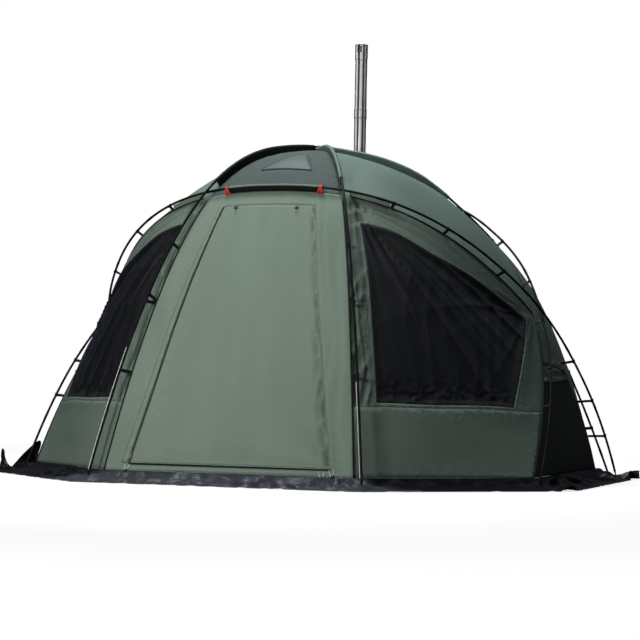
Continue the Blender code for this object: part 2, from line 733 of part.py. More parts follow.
# Sleeves hold the poles over the roof ridges and the brow
def sleeve(label, a, b, color, first=1, last=1):
    line, t, name, ss = SEAMS[a, b]
    rings_out = []
    rings_in = []
    inner_radius = (POLE_RADIUS + GAP) / math.cos(math.pi / POLE_SIDES)
    outer_radius = inner_radius + SLEEVE_WALL
    half = math.asin(WEB_THICKNESS / 2 / outer_radius)
    steps = POLE_SIDES
    arc = [half + (2 * math.pi - 2 * half) * i / steps for i in range(steps + 1)]
    for k in range(first, len(ss) - last):
        p = pole_at(name, ss[k])
        q = line[k]
        way = pole_at(name, ss[k + 1]) - pole_at(name, ss[k - 1])
        f = unit(q - p)
        across = unit(np.cross(unit(way), f))
        foot = q - f * GAP
        ring = [foot + across * WEB_THICKNESS / 6]
        ring += [p + (f * math.cos(x) + across * math.sin(x)) * outer_radius for x in arc]
        ring += [foot - across * WEB_THICKNESS / 6]
        rings_out.append(ring)
        turn = [2 * math.pi * i / steps for i in range(steps)]
        rings_in.append([p + (f * math.cos(x) + across * math.sin(x)) * inner_radius for x in turn])
    verts = [v for ring in rings_out for v in ring]
    faces = rect_rings(rings_out)
    start = len(verts)
    verts += [v for ring in rings_in for v in ring]
    faces += [tuple(start + i for i in f[::-1]) for f in rect_rings(rings_in)]
    n = len(rings_out[0])
    m = steps
    for end in (0, len(rings_out) - 1):
        o = end * n
        i0 = start + end * m
        cap = [(o + 1 + i, o + 2 + i, i0 + (i + 1) % m, i0 + i) for i in range(m)]
        cap.append((o, o + 1, i0, o + n - 2, o + n - 1))
        faces += cap if end else [f[::-1] for f in cap]
    return new_object(label, verts, faces, color, 0.8, 0.0)


sleeve("front_sleeve_left", "BL", "TOP", DARK)
sleeve("front_sleeve_right", "BR", "TOP", DARK)
sleeve("rear_sleeve_right", "TOP", "KR", DARK)
sleeve("rear_sleeve_left", "TOP", "KL", DARK)
sleeve("brow_sleeve", "BL", "BR", DARK, 2, 2)


# Clips join the poles to the body seams
def clip(label, a, b, share, pole_width=CLIP_WIDTH, seam_width=CLIP_WIDTH):
    line, t, name, ss = SEAMS[a, b]
    k = min(len(ss) - 2, max(0, int(np.searchsorted(t, share)) - 1))
    p0 = pole_at(name, ss[k])
    p1 = pole_at(name, ss[k + 1])
    q0 = line[k]
    q1 = line[k + 1]
    way = unit(p1 - p0)
    run = unit(q1 - q0)
    inner_radius = (POLE_RADIUS + GAP) / math.cos(math.pi / POLE_SIDES)
    outer_radius = inner_radius + CLIP_WALL
    half = math.asin(TAIL_THICKNESS / 2 / outer_radius)
    stop = math.pi * 5 / 6
    steps = 5
    arc = [half + (stop - half) * i / steps for i in range(steps + 1)]
    wide = [stop - 2 * stop * i / (2 * steps) for i in range(2 * steps + 1)]
    rings = []
    for sign in (-1, 0, 1):
        p = (p0 + p1) / 2 + way * sign * pole_width / 2
        q = (q0 + q1) / 2 + run * sign * seam_width / 2
        f = unit(q - p)
        across = unit(np.cross(way, f))
        foot = q - f * GAP
        ring = [foot + across * TAIL_THICKNESS / 6]
        ring += [p + (f * math.cos(x) + across * math.sin(x)) * outer_radius for x in arc]
        ring += [p + (f * math.cos(x) + across * math.sin(x)) * inner_radius for x in wide]
        ring += [p + (f * math.cos(x) - across * math.sin(x)) * outer_radius for x in arc[::-1]]
        ring += [foot - across * TAIL_THICKNESS / 6]
        rings.append(ring)
    n = len(rings[0])
    verts = rings[0] + rings[1] + rings[2]
    faces = rect_rings(rings)
    faces.append(tuple(range(n))[::-1])
    faces.append(tuple(range(2 * n, 3 * n)))
    return new_object(label, verts, faces, BLACK, 0.5)


for word, front_node, brow, side, shoulder in (("left", "F1", "BL", "XL", "F8"), ("right", "F2", "BR", "XR", "F3")):
    for i, share in enumerate(CLIP_FRONT_SHARES):
        clip("front_clip_" + word + "_" + str(i + 1), front_node, brow, share)
    clip("front_fan_clip_" + word, front_node, brow, CLIP_FAN_SHARE, FAN_WIDTH, FAN_ROOT)
    for i, share in enumerate(CLIP_BROW_SHARES):
        clip("brow_clip_" + word + "_" + str(i + 1), brow, side, share)
    for i, share in enumerate(CLIP_BACK_SHARES):
        clip("rear_clip_" + word + "_" + str(i + 1), shoulder, side, share)

# Snow skirt on the ground round the whole hem
ORDER = ("F1", "F2", "F3", "F4", "F7", "F8")
hem = []
corners = {}
for a, b in zip(ORDER, ORDER[1:] + ORDER[:1]):
    corners[len(hem)] = a
    hem += list(curve(a, b)[0][:-1])
count = len(hem)
rows = []
flat_share = SKIRT_FLAT / SKIRT_WIDTH
profile = [(r, z) for r, z in SKIRT_RISE_SHARES] + [(flat_share, 0.0), (0.84, 0.0), (1.0, 0.0)]
low_rows = []
for k, (r, z) in enumerate(profile):
    top_ring = []
    low_ring = []
    for i in range(count):
        back = hem[i] - hem[i - 1]
        ahead = hem[(i + 1) % count] - hem[i]
        n0 = unit((back[1], -back[0], 0.0))
        n1 = unit((ahead[1], -ahead[0], 0.0))
        way = (n0 + n1) / (1 + n0 @ n1)
        ruffle = math.sin(i * 1.7) + math.sin(i * 2.9 + k)
        reach = SKIRT_WIDTH * r
        height = CLOTH + (HEM_HEIGHT - CLOTH - GAP / 2) * z
        if r > flat_share:
            reach += SKIRT_WAVE * ruffle * r
            height += SKIRT_WAVE * (1 + math.sin(i * 2.3 + k * 1.9)) / 2 * (r - flat_share)
            if corners.get(i) in ("F8", "F3"):
                height += CURL_HEIGHT * max(0.0, r - 3 / 5) ** 2 * 6
        p = hem[i] + way * reach
        top_ring.append(np.array((p[0], p[1], height)))
        if z > 0:
            q = hem[i] + way * (reach - CLOTH)
            low_ring.append(np.array((q[0], q[1], height)))
        else:
            low_ring.append(np.array((p[0], p[1], height - CLOTH)))
    rows.append(top_ring)
    low_rows.append(low_ring)
rings = []
for i in range(count):
    rings.append([row[i] for row in rows] + [row[i] for row in low_rows[::-1]])
faces = rect_rings(rings, True)
new_object("snow_skirt", [v for ring in rings for v in ring], faces, DARK, 0.6)


# Foot straps with eyelets for the pole tips
def plate(label, outline, holes, low, high, color, rough, metal=0.0):
    pts, tris = filled(outline, holes, np.array((1.0, 1.0)), STRAP_HALF_WIDTH * 4)
    verts = [(p[0], p[1], low) for p in pts] + [(p[0], p[1], high) for p in pts]
    n = len(pts)
    faces = []
    edge = {}
    for f in tris:
        a, b, c = (np.array(pts[i]) for i in f)
        if (b[0] - a[0]) * (c[1] - a[1]) - (b[1] - a[1]) * (c[0] - a[0]) < 0:
            f = f[::-1]
        faces.append(tuple(i + n for i in f))
        faces.append(f[::-1])
        for e in zip(f, f[1:] + f[:1]):
            edge[e] = 1
    for a, b in edge:
        if (b, a) not in edge:
            faces.append((a, b, b + n, a + n))
    return new_object(label, verts, faces, color, rough, metal)


FEET = {"F1": "A", "F2": "B", "F3": "D", "F8": "D"}
LABEL = {"F1": "front_left", "F2": "front_right", "F3": "side_right", "F8": "side_left", "F4": "rear_right", "F7": "rear_left"}
for k, label in LABEL.items():
    sign = 1 if NODE[k][0] > 0 else -1
    if k in ("F1", "F2"):
        feet = [base(FEET[k], -1)[:2]]
    elif k in ("F3", "F8"):
        feet = [base("D", sign)[:2]]
    else:
        feet = [base("A" if k == "F4" else "B", 1)[:2], base("C", sign)[:2]]
    mid = sum(feet) / len(feet)
    inward = unit(NODE[k][:2] - mid)
    across = np.array((-inward[1], inward[0]))
    half = STRAP_HALF_WIDTH + (np.linalg.norm(feet[0] - feet[-1]) / 2)
    outline = []
    for i in range(9):
        x = math.pi * i / 8
        outline.append(tuple(mid + across * half * math.cos(x) - inward * STRAP_HALF_WIDTH * math.sin(x)))
    outline += [tuple(mid - across * half + inward * STRAP_BACK), tuple(mid + across * half + inward * STRAP_BACK)]
    holes = []
    for foot in feet:
        turn = [2 * math.pi * i / CURVE_SIDES for i in range(CURVE_SIDES)]
        holes.append([(foot[0] + EYELET_HOLE * math.cos(x), foot[1] + EYELET_HOLE * math.sin(x)) for x in turn])
    plate("foot_strap_" + label, outline, holes, STRAP_LOW, STRAP_TOP, BLACK, 0.6)


# Stove pipe, arrestor and stove
def lathe(label, profile, color, rough, metal=1.0):
    rings = []
    for a in [2 * math.pi * i / PIPE_SIDES for i in range(PIPE_SIDES)]:
        rings.append([np.array((PIPE_OUT + r * math.cos(a), PIPE_BACK + r * math.sin(a), z)) for r, z in profile])
    return new_object(label, [v for ring in rings for v in ring], rect_rings(rings, True), color, rough, metal, True)


inner = PIPE_RADIUS - PIPE_WALL
bell = PIPE_RADIUS + GAP
wide = bell + PIPE_WALL
pipe_low = STOVE_TOP + GAP
lathe("pipe_lower", [(PIPE_RADIUS, pipe_low), (PIPE_RADIUS, PIPE_LOWER_TOP), (inner, PIPE_LOWER_TOP), (inner, pipe_low)], STEEL, 0.3)
step = PIPE_LOWER_TOP + GAP
lathe("pipe_upper", [(wide, PIPE_JOINT_LOW), (wide, PIPE_JOINT_HIGH), (PIPE_RADIUS, PIPE_JOINT_HIGH + PIPE_WALL),
                     (PIPE_RADIUS, PIPE_UPPER_TOP), (inner, PIPE_UPPER_TOP), (inner, step), (bell, step),
                     (bell, PIPE_JOINT_LOW)], STEEL, 0.3)
cap_low = ARRESTOR_TOP - PIPE_WALL
verts_profile = [(wide, ARRESTOR_LOW), (wide, ARRESTOR_TOP - PIPE_WALL), (PIPE_RADIUS, ARRESTOR_TOP),
                 (PIPE_RADIUS / 2, ARRESTOR_TOP), (PIPE_RADIUS / 2, cap_low - PIPE_WALL), (bell, cap_low - PIPE_WALL), (bell, ARRESTOR_LOW)]
arrestor = lathe("spark_arrestor", verts_profile, STEEL, 0.35)
bm = bmesh.new()
for i in range(SLOT_COUNT):
    a = 2 * math.pi * (i + 1 / 2) / SLOT_COUNT
    way = np.array((math.cos(a), math.sin(a), 0.0))
    side = np.array((-way[1], way[0], 0.0))
    middle = np.array((PIPE_OUT, PIPE_BACK, (SLOT_LOW + SLOT_HIGH) / 2))
    made = []
    for r in (PIPE_RADIUS - SLOT_WIDTH, PIPE_RADIUS + SLOT_WIDTH):
        for w in (-SLOT_WIDTH / 2, SLOT_WIDTH / 2):
            for z in (SLOT_LOW, SLOT_HIGH):
                made.append(bm.verts.new(tuple(middle + way * r + side * w + np.array((0.0, 0.0, z - middle[2])))))
    for f in ((0, 1, 3, 2), (4, 6, 7, 5), (0, 4, 5, 1), (2, 3, 7, 6), (0, 2, 6, 4), (1, 5, 7, 3)):
        bm.faces.new([made[j] for j in f])
bmesh.ops.recalc_face_normals(bm, faces=bm.faces)
mesh = bpy.data.meshes.new("arrestor_slots")
bm.to_mesh(mesh)
bm.free()
cutter = bpy.data.objects.new("arrestor_slots", mesh)
bpy.context.scene.collection.objects.link(cutter)
cutter.display_type = "WIRE"
cutter.hide_render = True
cut = arrestor.modifiers.new("slots", "BOOLEAN")
cut.operation = "DIFFERENCE"
cut.solver = "EXACT"
cut.object = cutter


def box(bm, low, high):
    v = [bm.verts.new((x, y, z)) for x in (low[0], high[0]) for y in (low[1], high[1]) for z in (low[2], high[2])]
    for f in ((0, 1, 3, 2), (4, 6, 7, 5), (0, 4, 5, 1), (2, 3, 7, 6), (0, 2, 6, 4), (1, 5, 7, 3)):
        bm.faces.new([v[j] for j in f])


# The stove box stands on four corner legs under the pipe
half = STOVE_WIDTH / 2
y0 = PIPE_BACK - STOVE_LENGTH * PIPE_AT_SHARE
y1 = y0 + STOVE_LENGTH
xs = [PIPE_OUT - half, PIPE_OUT - half + STOVE_LEG, PIPE_OUT + half - STOVE_LEG, PIPE_OUT + half]
ys = [y0, y0 + STOVE_LEG, y1 - STOVE_LEG, y1]
zs = [0.0, STOVE_LOW, STOVE_TOP]
verts = []
at = {}
for i, x in enumerate(xs):
    for j, y in enumerate(ys):
        for k, z in enumerate(zs):
            at[i, j, k] = len(verts)
            verts.append((x, y, z))
solid = set()
for i in range(3):
    for j in range(3):
        solid.add((i, j, 1))
        if i != 1 and j != 1:
            solid.add((i, j, 0))
faces = []
for i, j, k in solid:
    c = {(a, b, d): at[i + a, j + b, k + d] for a in (0, 1) for b in (0, 1) for d in (0, 1)}
    sides = {
        (-1, 0, 0): (c[0, 0, 0], c[0, 0, 1], c[0, 1, 1], c[0, 1, 0]),
        (1, 0, 0): (c[1, 0, 0], c[1, 1, 0], c[1, 1, 1], c[1, 0, 1]),
        (0, -1, 0): (c[0, 0, 0], c[1, 0, 0], c[1, 0, 1], c[0, 0, 1]),
        (0, 1, 0): (c[0, 1, 0], c[0, 1, 1], c[1, 1, 1], c[1, 1, 0]),
        (0, 0, -1): (c[0, 0, 0], c[0, 1, 0], c[1, 1, 0], c[1, 0, 0]),
        (0, 0, 1): (c[0, 0, 1], c[1, 0, 1], c[1, 1, 1], c[0, 1, 1]),
    }
    for d, f in sides.items():
        if (i + d[0], j + d[1], k + d[2]) not in solid:
            faces.append(f)
used = sorted({i for f in faces for i in f})
remap = {old: new for new, old in enumerate(used)}
new_object("stove", [verts[i] for i in used], [tuple(remap[i] for i in f) for f in faces], BLACK, 0.6, 0.5)

# Zip slider sits on the lower end of the upright zip
low_left = front.at(door_left[-1][0] - ZIP_SHARE, door_left[-1][1])
low_right = front.at(door_left[-1][0], door_left[-1][1])
high_left = front.at(zip_left[-1][0], zip_left[-1][1])
high_right = front.at(door_left[-2][0], door_left[-2][1])
low_mid = (low_left + low_right) / 2
high_mid = (high_left + high_right) / 2
up = unit(high_mid - low_mid)
across = unit(low_right - low_left)
face = unit(np.cross(across, up))
if face @ outward(low_mid) < 0:
    face = -face
across = unit(np.cross(up, face))
origin = low_mid + up * SLIDER_LENGTH + face * GAP
bm = bmesh.new()
made = []
for h, w in ((0.0, 1.0), (SLIDER_HEIGHT / 2, 1.0), (SLIDER_HEIGHT, 0.6)):
    ring = []
    for i, j in ((-1, -1), (1, -1), (1, 1), (-1, 1)):
        ring.append(origin + across * i * w * SLIDER_WIDTH / 2 + up * j * w * SLIDER_LENGTH / 2 + face * h)
    made.append(ring)
faces = rect_rings(made)
faces.append((3, 2, 1, 0))
faces.append((8, 9, 10, 11))
slider = new_object("zip_slider", [v for ring in made for v in ring], faces, STEEL, 0.4, 1.0)
bm.free()
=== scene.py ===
import math

import bmesh
import bpy
import numpy as np
from mathutils import Matrix, Vector, noise
from mathutils.geometry import delaunay_2d_cdt


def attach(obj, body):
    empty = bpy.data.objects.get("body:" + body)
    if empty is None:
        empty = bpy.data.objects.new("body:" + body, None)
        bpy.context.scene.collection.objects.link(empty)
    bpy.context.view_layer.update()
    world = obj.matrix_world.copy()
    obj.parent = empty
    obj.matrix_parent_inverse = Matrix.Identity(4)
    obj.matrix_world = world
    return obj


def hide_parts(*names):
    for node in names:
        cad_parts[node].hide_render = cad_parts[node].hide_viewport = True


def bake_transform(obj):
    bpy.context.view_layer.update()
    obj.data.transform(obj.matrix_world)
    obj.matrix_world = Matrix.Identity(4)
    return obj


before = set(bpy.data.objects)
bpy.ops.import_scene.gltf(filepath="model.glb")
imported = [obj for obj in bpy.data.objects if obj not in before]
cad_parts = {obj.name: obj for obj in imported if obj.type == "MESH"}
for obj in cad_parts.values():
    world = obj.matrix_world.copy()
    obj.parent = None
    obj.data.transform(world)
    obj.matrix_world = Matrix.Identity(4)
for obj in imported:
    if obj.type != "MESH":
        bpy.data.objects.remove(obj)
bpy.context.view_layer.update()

# The picture is taken standing in front of the door, a little to the right of it.
# The tent stands on level ground and the camera is held at hip height.
LENS = 123.75
SENSOR = 36.0
VIEW_TURN = math.radians(20)
VIEW_TILT = math.radians(-1.6)
VIEW_ROLL = math.radians(1.07)
VIEW_PLACE = Vector((4.92, -13.285, 0.62))

away_x, away_y = math.sin(VIEW_TURN), -math.cos(VIEW_TURN)
back = Vector((away_x * math.cos(VIEW_TILT), away_y * math.cos(VIEW_TILT), math.sin(VIEW_TILT)))
right = Vector((math.cos(VIEW_TURN), math.sin(VIEW_TURN), 0.0))
up = back.cross(right)
rolled_right = right * math.cos(VIEW_ROLL) + up * math.sin(VIEW_ROLL)
rolled_up = up * math.cos(VIEW_ROLL) - right * math.sin(VIEW_ROLL)
camera_data = bpy.data.cameras.new("camera")
camera_data.lens = LENS
camera_data.sensor_width = SENSOR
camera = bpy.data.objects.new("camera", camera_data)
bpy.context.scene.collection.objects.link(camera)
turned = Matrix((rolled_right, rolled_up, back)).transposed().to_4x4()
camera.matrix_world = Matrix.Translation(VIEW_PLACE) @ turned
bpy.context.scene.camera = camera
bpy.context.scene.view_settings.view_transform = "Standard"

# Poles: four shock-corded black tubes with ferrule joints. Two cross over the top and run from
# front corner to rear corner, one arches over the brow and one over the back.
TOP_BACK = 0.095
CENTRE = np.array((0.0, TOP_BACK, 0.50))
TOP_HEIGHT = 2.135
ROOF_POWER = 2.6
FRONT_FOOT = np.array((-0.868, -1.402 - TOP_BACK))
REAR_FOOT = np.array((1.670, 1.455 - TOP_BACK))
BROW_HOOP = (1.725, 1.420, -0.660, 1.823)
BACK_HOOP = (1.700, -0.618, 0.826, 1.900)
HOOP_POWER, HOOP_ROOT = 2.4, 0.42
POLE_RADIUS = 0.0075
GAP = 0.0003
BEND = 0.12
PUSH_REACH = 0.15
POLE_BLACK = (0.0035, 0.0035, 0.004)
SECTION_LENGTH = 0.56
FERRULE_LENGTH = 0.055
FERRULE_RISE = 0.0008
TUBE_STEP = 0.018
TUBE_START = 0.034
FEET_Z = 0.0045
PIN_RADII = [POLE_RADIUS * 0.9, 0.0048, 0.0046, 0.003]


def unit(v):
    v = np.asarray(v, float)
    return v / np.linalg.norm(v)


def outward(p):
    return unit(np.asarray(p, float) - CENTRE)


def roof_arch(s):
    bend = (math.sqrt(s * s + BEND ** 2) - BEND) / (math.sqrt(1 + BEND ** 2) - BEND)
    xy = s * (REAR_FOOT - FRONT_FOOT) / 2 + bend * (REAR_FOOT + FRONT_FOOT) / 2
    return np.array((xy[0], xy[1] + TOP_BACK, TOP_HEIGHT * (1 - min(1.0, abs(s)) ** ROOF_POWER)))


def hoop_arch(s, foot_x, foot_y, top_y, top_z):
    q = math.sin(s * math.pi / 2)
    rise = max(0.0, 1 - abs(q) ** HOOP_POWER) ** HOOP_ROOT
    return np.array((foot_x * q, foot_y + (top_y - foot_y) * rise, top_z * rise))


def arch(pole, s):
    if pole == "A":
        return roof_arch(s)
    if pole == "B":
        return roof_arch(s) * np.array((-1, 1, 1))
    return hoop_arch(s, *(BROW_HOOP if pole == "C" else BACK_HOOP))


def closest(first, a0, a1, second, b0, b1):
    # where two poles come nearest to each other, within the given ranges
    for _ in range(12):
        ss = np.linspace(a0, a1, 21)
        tt = np.linspace(b0, b1, 21)
        one = np.array([arch(first, s) for s in ss])
        two = np.array([arch(second, t) for t in tt])
        d = np.linalg.norm(one[:, None] - two[None], axis=2)
        i, j = np.unravel_index(d.argmin(), d.shape)
        da, db = (a1 - a0) / 6, (b1 - b0) / 6
        a0, a1, b0, b1 = ss[i] - da, ss[i] + da, tt[j] - db, tt[j] + db
    return ss[i], tt[j]


pushes = {"A": [], "B": [], "C": [], "D": []}
crossings = {}
for name, over, a0, a1, low, b0, b1 in (
    ("TOP", "A", -0.1, 0.1, "B", -0.1, 0.1),
    ("BL", "A", -0.6, -0.3, "C", -0.3, -0.05),
    ("BR", "B", -0.6, -0.3, "C", 0.05, 0.3),
    ("XR", "C", 0.5, 0.85, "D", 0.5, 0.85),
    ("XL", "C", -0.85, -0.5, "D", -0.85, -0.5),
    ("KR", "A", 0.3, 0.65, "D", 0.1, 0.5),
    ("KL", "B", 0.3, 0.65, "D", -0.5, -0.1),
):
    s, t = closest(over, a0, a1, low, b0, b1)
    p, q = arch(over, s), arch(low, t)
    ways = [arch(k, x + 0.0001) - arch(k, x - 0.0001) for k, x in ((over, s), (low, t))]
    normal = unit(np.cross(*ways))
    middle = (p + q) / 2
    normal = normal if normal @ outward(middle) > 0 else -normal
    pushes[over].append((s, middle + normal * (POLE_RADIUS + GAP / 2) - p))
    pushes[low].append((t, middle - normal * (POLE_RADIUS + GAP / 2) - q))
    crossings[name] = (middle, s, t)


def pole_at(name, s):
    # the pole's own curve, pushed aside where it crosses another one
    p = arch(name, s)
    for k, d in pushes[name]:
        x = abs(s - k) / PUSH_REACH
        if x < 1:
            p = p + d * (1 - x * x) ** 2
    return p


def even(points, step):
    # the same line with evenly spaced points
    points = np.asarray(points, float)
    run = np.concatenate(([0], np.cumsum(np.linalg.norm(np.diff(points, axis=0), axis=1))))
    n = max(2, int(round(run[-1] / step)))
    t = np.linspace(0, run[-1], n + 1)
    return np.array([np.interp(t, run, points[:, k]) for k in range(3)]).T


def dress(obj, material, body="tent", smooth=True):
    # gives the piece its material and fixes it to a body of the part
    obj.data.materials.append(material)
    if smooth and obj.type == "MESH":
        obj.data.polygons.foreach_set("use_smooth", [True] * len(obj.data.polygons))
    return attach(obj, body) if body else obj


def mesh_object(name, verts, faces, uvs=None):
    mesh = bpy.data.meshes.new(name)
    mesh.from_pydata([tuple(v) for v in verts], [], [tuple(f) for f in faces])
    if uvs is not None:
        layer = mesh.uv_layers.new(name="UVMap")
        where = np.empty(len(mesh.loops), int)
        mesh.loops.foreach_get("vertex_index", where)
        layer.data.foreach_set("uv", np.asarray(uvs, np.float32)[where].ravel())
    mesh.update()
    obj = bpy.data.objects.new(name, mesh)
    bpy.context.scene.collection.objects.link(obj)
    return obj


def grid_faces(rows, columns, closed=False, flip=False):
    # four-sided faces between rows of vertices; a closed row ends where it starts
    faces = []
    for k in range(rows - 1):
        for i in range(columns if closed else columns - 1):
            j = (i + 1) % columns
            a, b, c, d = k * columns + i, k * columns + j, (k + 1) * columns + j, (k + 1) * columns + i
            faces.append((a, d, c, b) if flip else (a, b, c, d))
    return faces


def rod(name, points, radii, sides=14):
    # round tube along a line, with closed ends
    points = np.asarray(points, float)
    radii = np.broadcast_to(np.asarray(radii, float), len(points))
    verts, uvs, run = [], [], 0.0
    for k, p in enumerate(points):
        way = unit(points[min(k + 1, len(points) - 1)] - points[max(k - 1, 0)])
        side = outward(p)
        if abs(side @ way) > 0.9:
            side = np.array((1.0, 0.0, 0.0))
        side = unit(side - way * (side @ way))
        across = np.cross(way, side)
        run += np.linalg.norm(p - points[max(k - 1, 0)])
        for i in range(sides):
            a = 2 * math.pi * i / sides
            verts.append(p + (side * math.cos(a) + across * math.sin(a)) * radii[k])
            uvs.append((run, i / sides * 2 * math.pi * radii[k]))
    faces = grid_faces(len(points), sides, closed=True)
    faces.append(tuple(range(sides))[::-1])
    faces.append(tuple((len(points) - 1) * sides + i for i in range(sides)))
    return mesh_object(name, verts, faces, uvs)


def tube(name, points, radii, sides, material):
    dress(rod(name, points, radii, sides), material)


def put(tree, kind, inputs=None, **settings):
    # one shader node: its inputs are given as values, or as sockets to link from
    made = tree.nodes.new("ShaderNode" + kind)
    for key, value in settings.items():
        setattr(made, key, value)
    for key, value in (inputs or {}).items():
        if isinstance(value, bpy.types.NodeSocket):
            tree.links.new(value, made.inputs[key])
        else:
            made.inputs[key].default_value = value
    return made


def node_material(name):
    material = bpy.data.materials.new(name)
    material.use_nodes = True
    return material, material.node_tree, material.node_tree.nodes["Principled BSDF"]


def speckle(tree, shader, color, spread, scale, rough, rough_spread, bump, bump_scale, metal=0.0):
    # the look that every surface starts from: uneven colour and gloss, and a fine grain
    place = put(tree, "TexCoord")
    broad = put(tree, "TexNoise", {"Scale": scale, "Detail": 5.0, "Vector": place.outputs["Object"]})
    mix = put(tree, "Mix", {"A": (*[c * (1 - spread) for c in color], 1),
                            "B": (*[min(1, c * (1 + spread)) for c in color], 1),
                            "Factor": broad.outputs["Fac"]}, data_type="RGBA")
    tree.links.new(mix.outputs["Result"], shader.inputs["Base Color"])
    span = put(tree, "MapRange", {"To Min": rough - rough_spread, "To Max": rough + rough_spread,
                                  "Value": broad.outputs["Fac"]})
    tree.links.new(span.outputs["Result"], shader.inputs["Roughness"])
    fine = put(tree, "TexNoise", {"Scale": bump_scale, "Detail": 3.0, "Vector": place.outputs["Object"]})
    relief = put(tree, "Bump", {"Strength": bump, "Distance": 0.001, "Height": fine.outputs["Fac"]})
    tree.links.new(relief.outputs["Normal"], shader.inputs["Normal"])
    shader.inputs["Metallic"].default_value = metal
    return place, mix, relief


def painted(name, color, spread, scale, rough, rough_spread, bump, bump_scale, metal=0.0, shine=0.5):
    material, tree, shader = node_material(name)
    speckle(tree, shader, color, spread, scale, rough, rough_spread, bump, bump_scale, metal)
    shader.inputs["Specular IOR Level"].default_value = shine
    return material


pole_paint = painted("black pole coating", POLE_BLACK, 0.3, 9.0, 0.42, 0.07, 0.15, 900.0, shine=0.10)
for name, key in (("roof_pole_left", "A"), ("roof_pole_right", "B"), ("brow_pole", "C"), ("rear_pole", "D")):
    line = [pole_at(key, s) for s in np.linspace(-1, 1, 500)]
    line = even([p for p in line if p[2] > TUBE_START], TUBE_STEP)
    along = [(k * TUBE_STEP + 0.2) % SECTION_LENGTH for k in range(len(line))]
    radii = [POLE_RADIUS + (FERRULE_RISE if x < FERRULE_LENGTH else 0.0) for x in along]
    pins = []
    for side, near in ((-1, line[0]), (1, line[-1])):
        tip = np.append(arch(key, side)[:2], FEET_Z)
        pins.append([near + (tip - near) * x for x in (0.04, 0.05, 0.9, 1.0)])
    points = pins[0][::-1] + list(line) + pins[1]
    radii = PIN_RADII[::-1] + radii + PIN_RADII
    piece = dress(rod(name + "_tube", points, radii), pole_paint)
    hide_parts(name)

# Body cloth: coated polyester and cotton cut in twelve panels and sewn along the ridges under the poles.
# Each panel is stretched between its seams, with puckers along the stitching and folds from the corners.
HEM_HEIGHT = 0.07
STAND = 0.060
STANDS = {"TOP": 0.034, "BL": 0.042, "BR": 0.042, "XL": 0.055, "XR": 0.055, "KL": 0.050, "KR": 0.050}
spots = {k: crossings[k][0] - outward(crossings[k][0]) * v for k, v in STANDS.items()}
for name, x, y in (("F1", -0.79, -1.325), ("F2", 0.79, -1.325), ("F3", 1.65, -0.535), ("F8", -1.65, -0.535),
                   ("F4", 1.60, 1.325), ("F7", -1.60, 1.325)):
    spots[name] = np.array((x, y, HEM_HEIGHT))


def height_share(key, side):
    low, high = side, side / 2
    for _ in range(60):
        middle = (low + high) / 2
        if arch(key, middle)[2] < HEM_HEIGHT:
            low = middle
        else:
            high = middle
    return (low + high) / 2


seams = {}
for a, b, key, s0, s1 in (
    ("F1", "BL", "A", height_share("A", -1), crossings["BL"][1]),
    ("F2", "BR", "B", height_share("B", -1), crossings["BR"][1]),
    ("BL", "TOP", "A", crossings["BL"][1], crossings["TOP"][1]),
    ("BR", "TOP", "B", crossings["BR"][1], crossings["TOP"][2]),
    ("TOP", "KR", "A", crossings["TOP"][1], crossings["KR"][1]),
    ("TOP", "KL", "B", crossings["TOP"][2], crossings["KL"][1]),
    ("KR", "F4", "A", crossings["KR"][1], height_share("A", 1)),
    ("KL", "F7", "B", crossings["KL"][1], height_share("B", 1)),
    ("BL", "BR", "C", crossings["BL"][2], crossings["BR"][2]),
    ("BR", "XR", "C", crossings["BR"][2], crossings["XR"][1]),
    ("BL", "XL", "C", crossings["BL"][2], crossings["XL"][1]),
    ("XR", "F4", "C", crossings["XR"][1], height_share("C", 1)),
    ("XL", "F7", "C", crossings["XL"][1], height_share("C", -1)),
    ("F3", "XR", "D", height_share("D", 1), crossings["XR"][2]),
    ("F8", "XL", "D", height_share("D", -1), crossings["XL"][2]),
    ("XR", "KR", "D", crossings["XR"][2], crossings["KR"][2]),
    ("XL", "KL", "D", crossings["XL"][2], crossings["KL"][2]),
    ("KL", "KR", "D", crossings["KL"][2], crossings["KR"][2]),
):
    dense = np.linspace(s0, s1, 301)
    pts = np.array([pole_at(key, s) for s in dense])
    run = np.concatenate(([0], np.cumsum(np.linalg.norm(np.diff(pts, axis=0), axis=1))))
    t = run / run[-1]
    line = np.array([p - outward(p) * STAND for p in pts])
    line = line + (1 - t)[:, None] * (spots[a] - line[0]) + t[:, None] * (spots[b] - line[-1])
    seams[a, b] = (line, t, key, dense, run[-1])
for a, b in (("F1", "F2"), ("F2", "F3"), ("F3", "F4"), ("F1", "F8"), ("F8", "F7"), ("F7", "F4")):
    t = np.linspace(0, 1, 301)
    seams[a, b] = (spots[a] + (spots[b] - spots[a]) * t[:, None], t, None, None,
                   np.linalg.norm(spots[b] - spots[a]))


def edge_at(a, b, x):
    # points at shares of the seam between two corners
    if (a, b) in seams:
        line, t = seams[a, b][:2]
    else:
        line, t = seams[b, a][:2]
        x = 1 - np.asarray(x)
    return np.stack([np.interp(x, t, line[:, k]) for k in range(3)], axis=-1)


def edge_length(a, b):
    return seams[a, b][4] if (a, b) in seams else seams[b, a][4]


def pole_over(a, b, x, near=0.002):
    # the pole's point over a share of its seam, and the pole's direction there
    _, t, key, dense = seams[a, b][:4]
    s = np.interp(x, t, dense)
    return pole_at(key, s), unit(pole_at(key, s + near) - pole_at(key, s - near))


class Panel:
    def ring(self, step):
        # shares of evenly spaced points along the panel's seams, corner by corner
        out = []
        corners, places = self.corners, self.places
        after, onward = corners[1:] + corners[:1], places[1:] + places[:1]
        for p, q, (u0, v0), (u1, v1) in zip(corners, after, places, onward):
            n = max(3, int(round(edge_length(p, q) / step)))
            out += [(u0 + (u1 - u0) * i / n, v0 + (v1 - v0) * i / n) for i in range(n)]
        return out


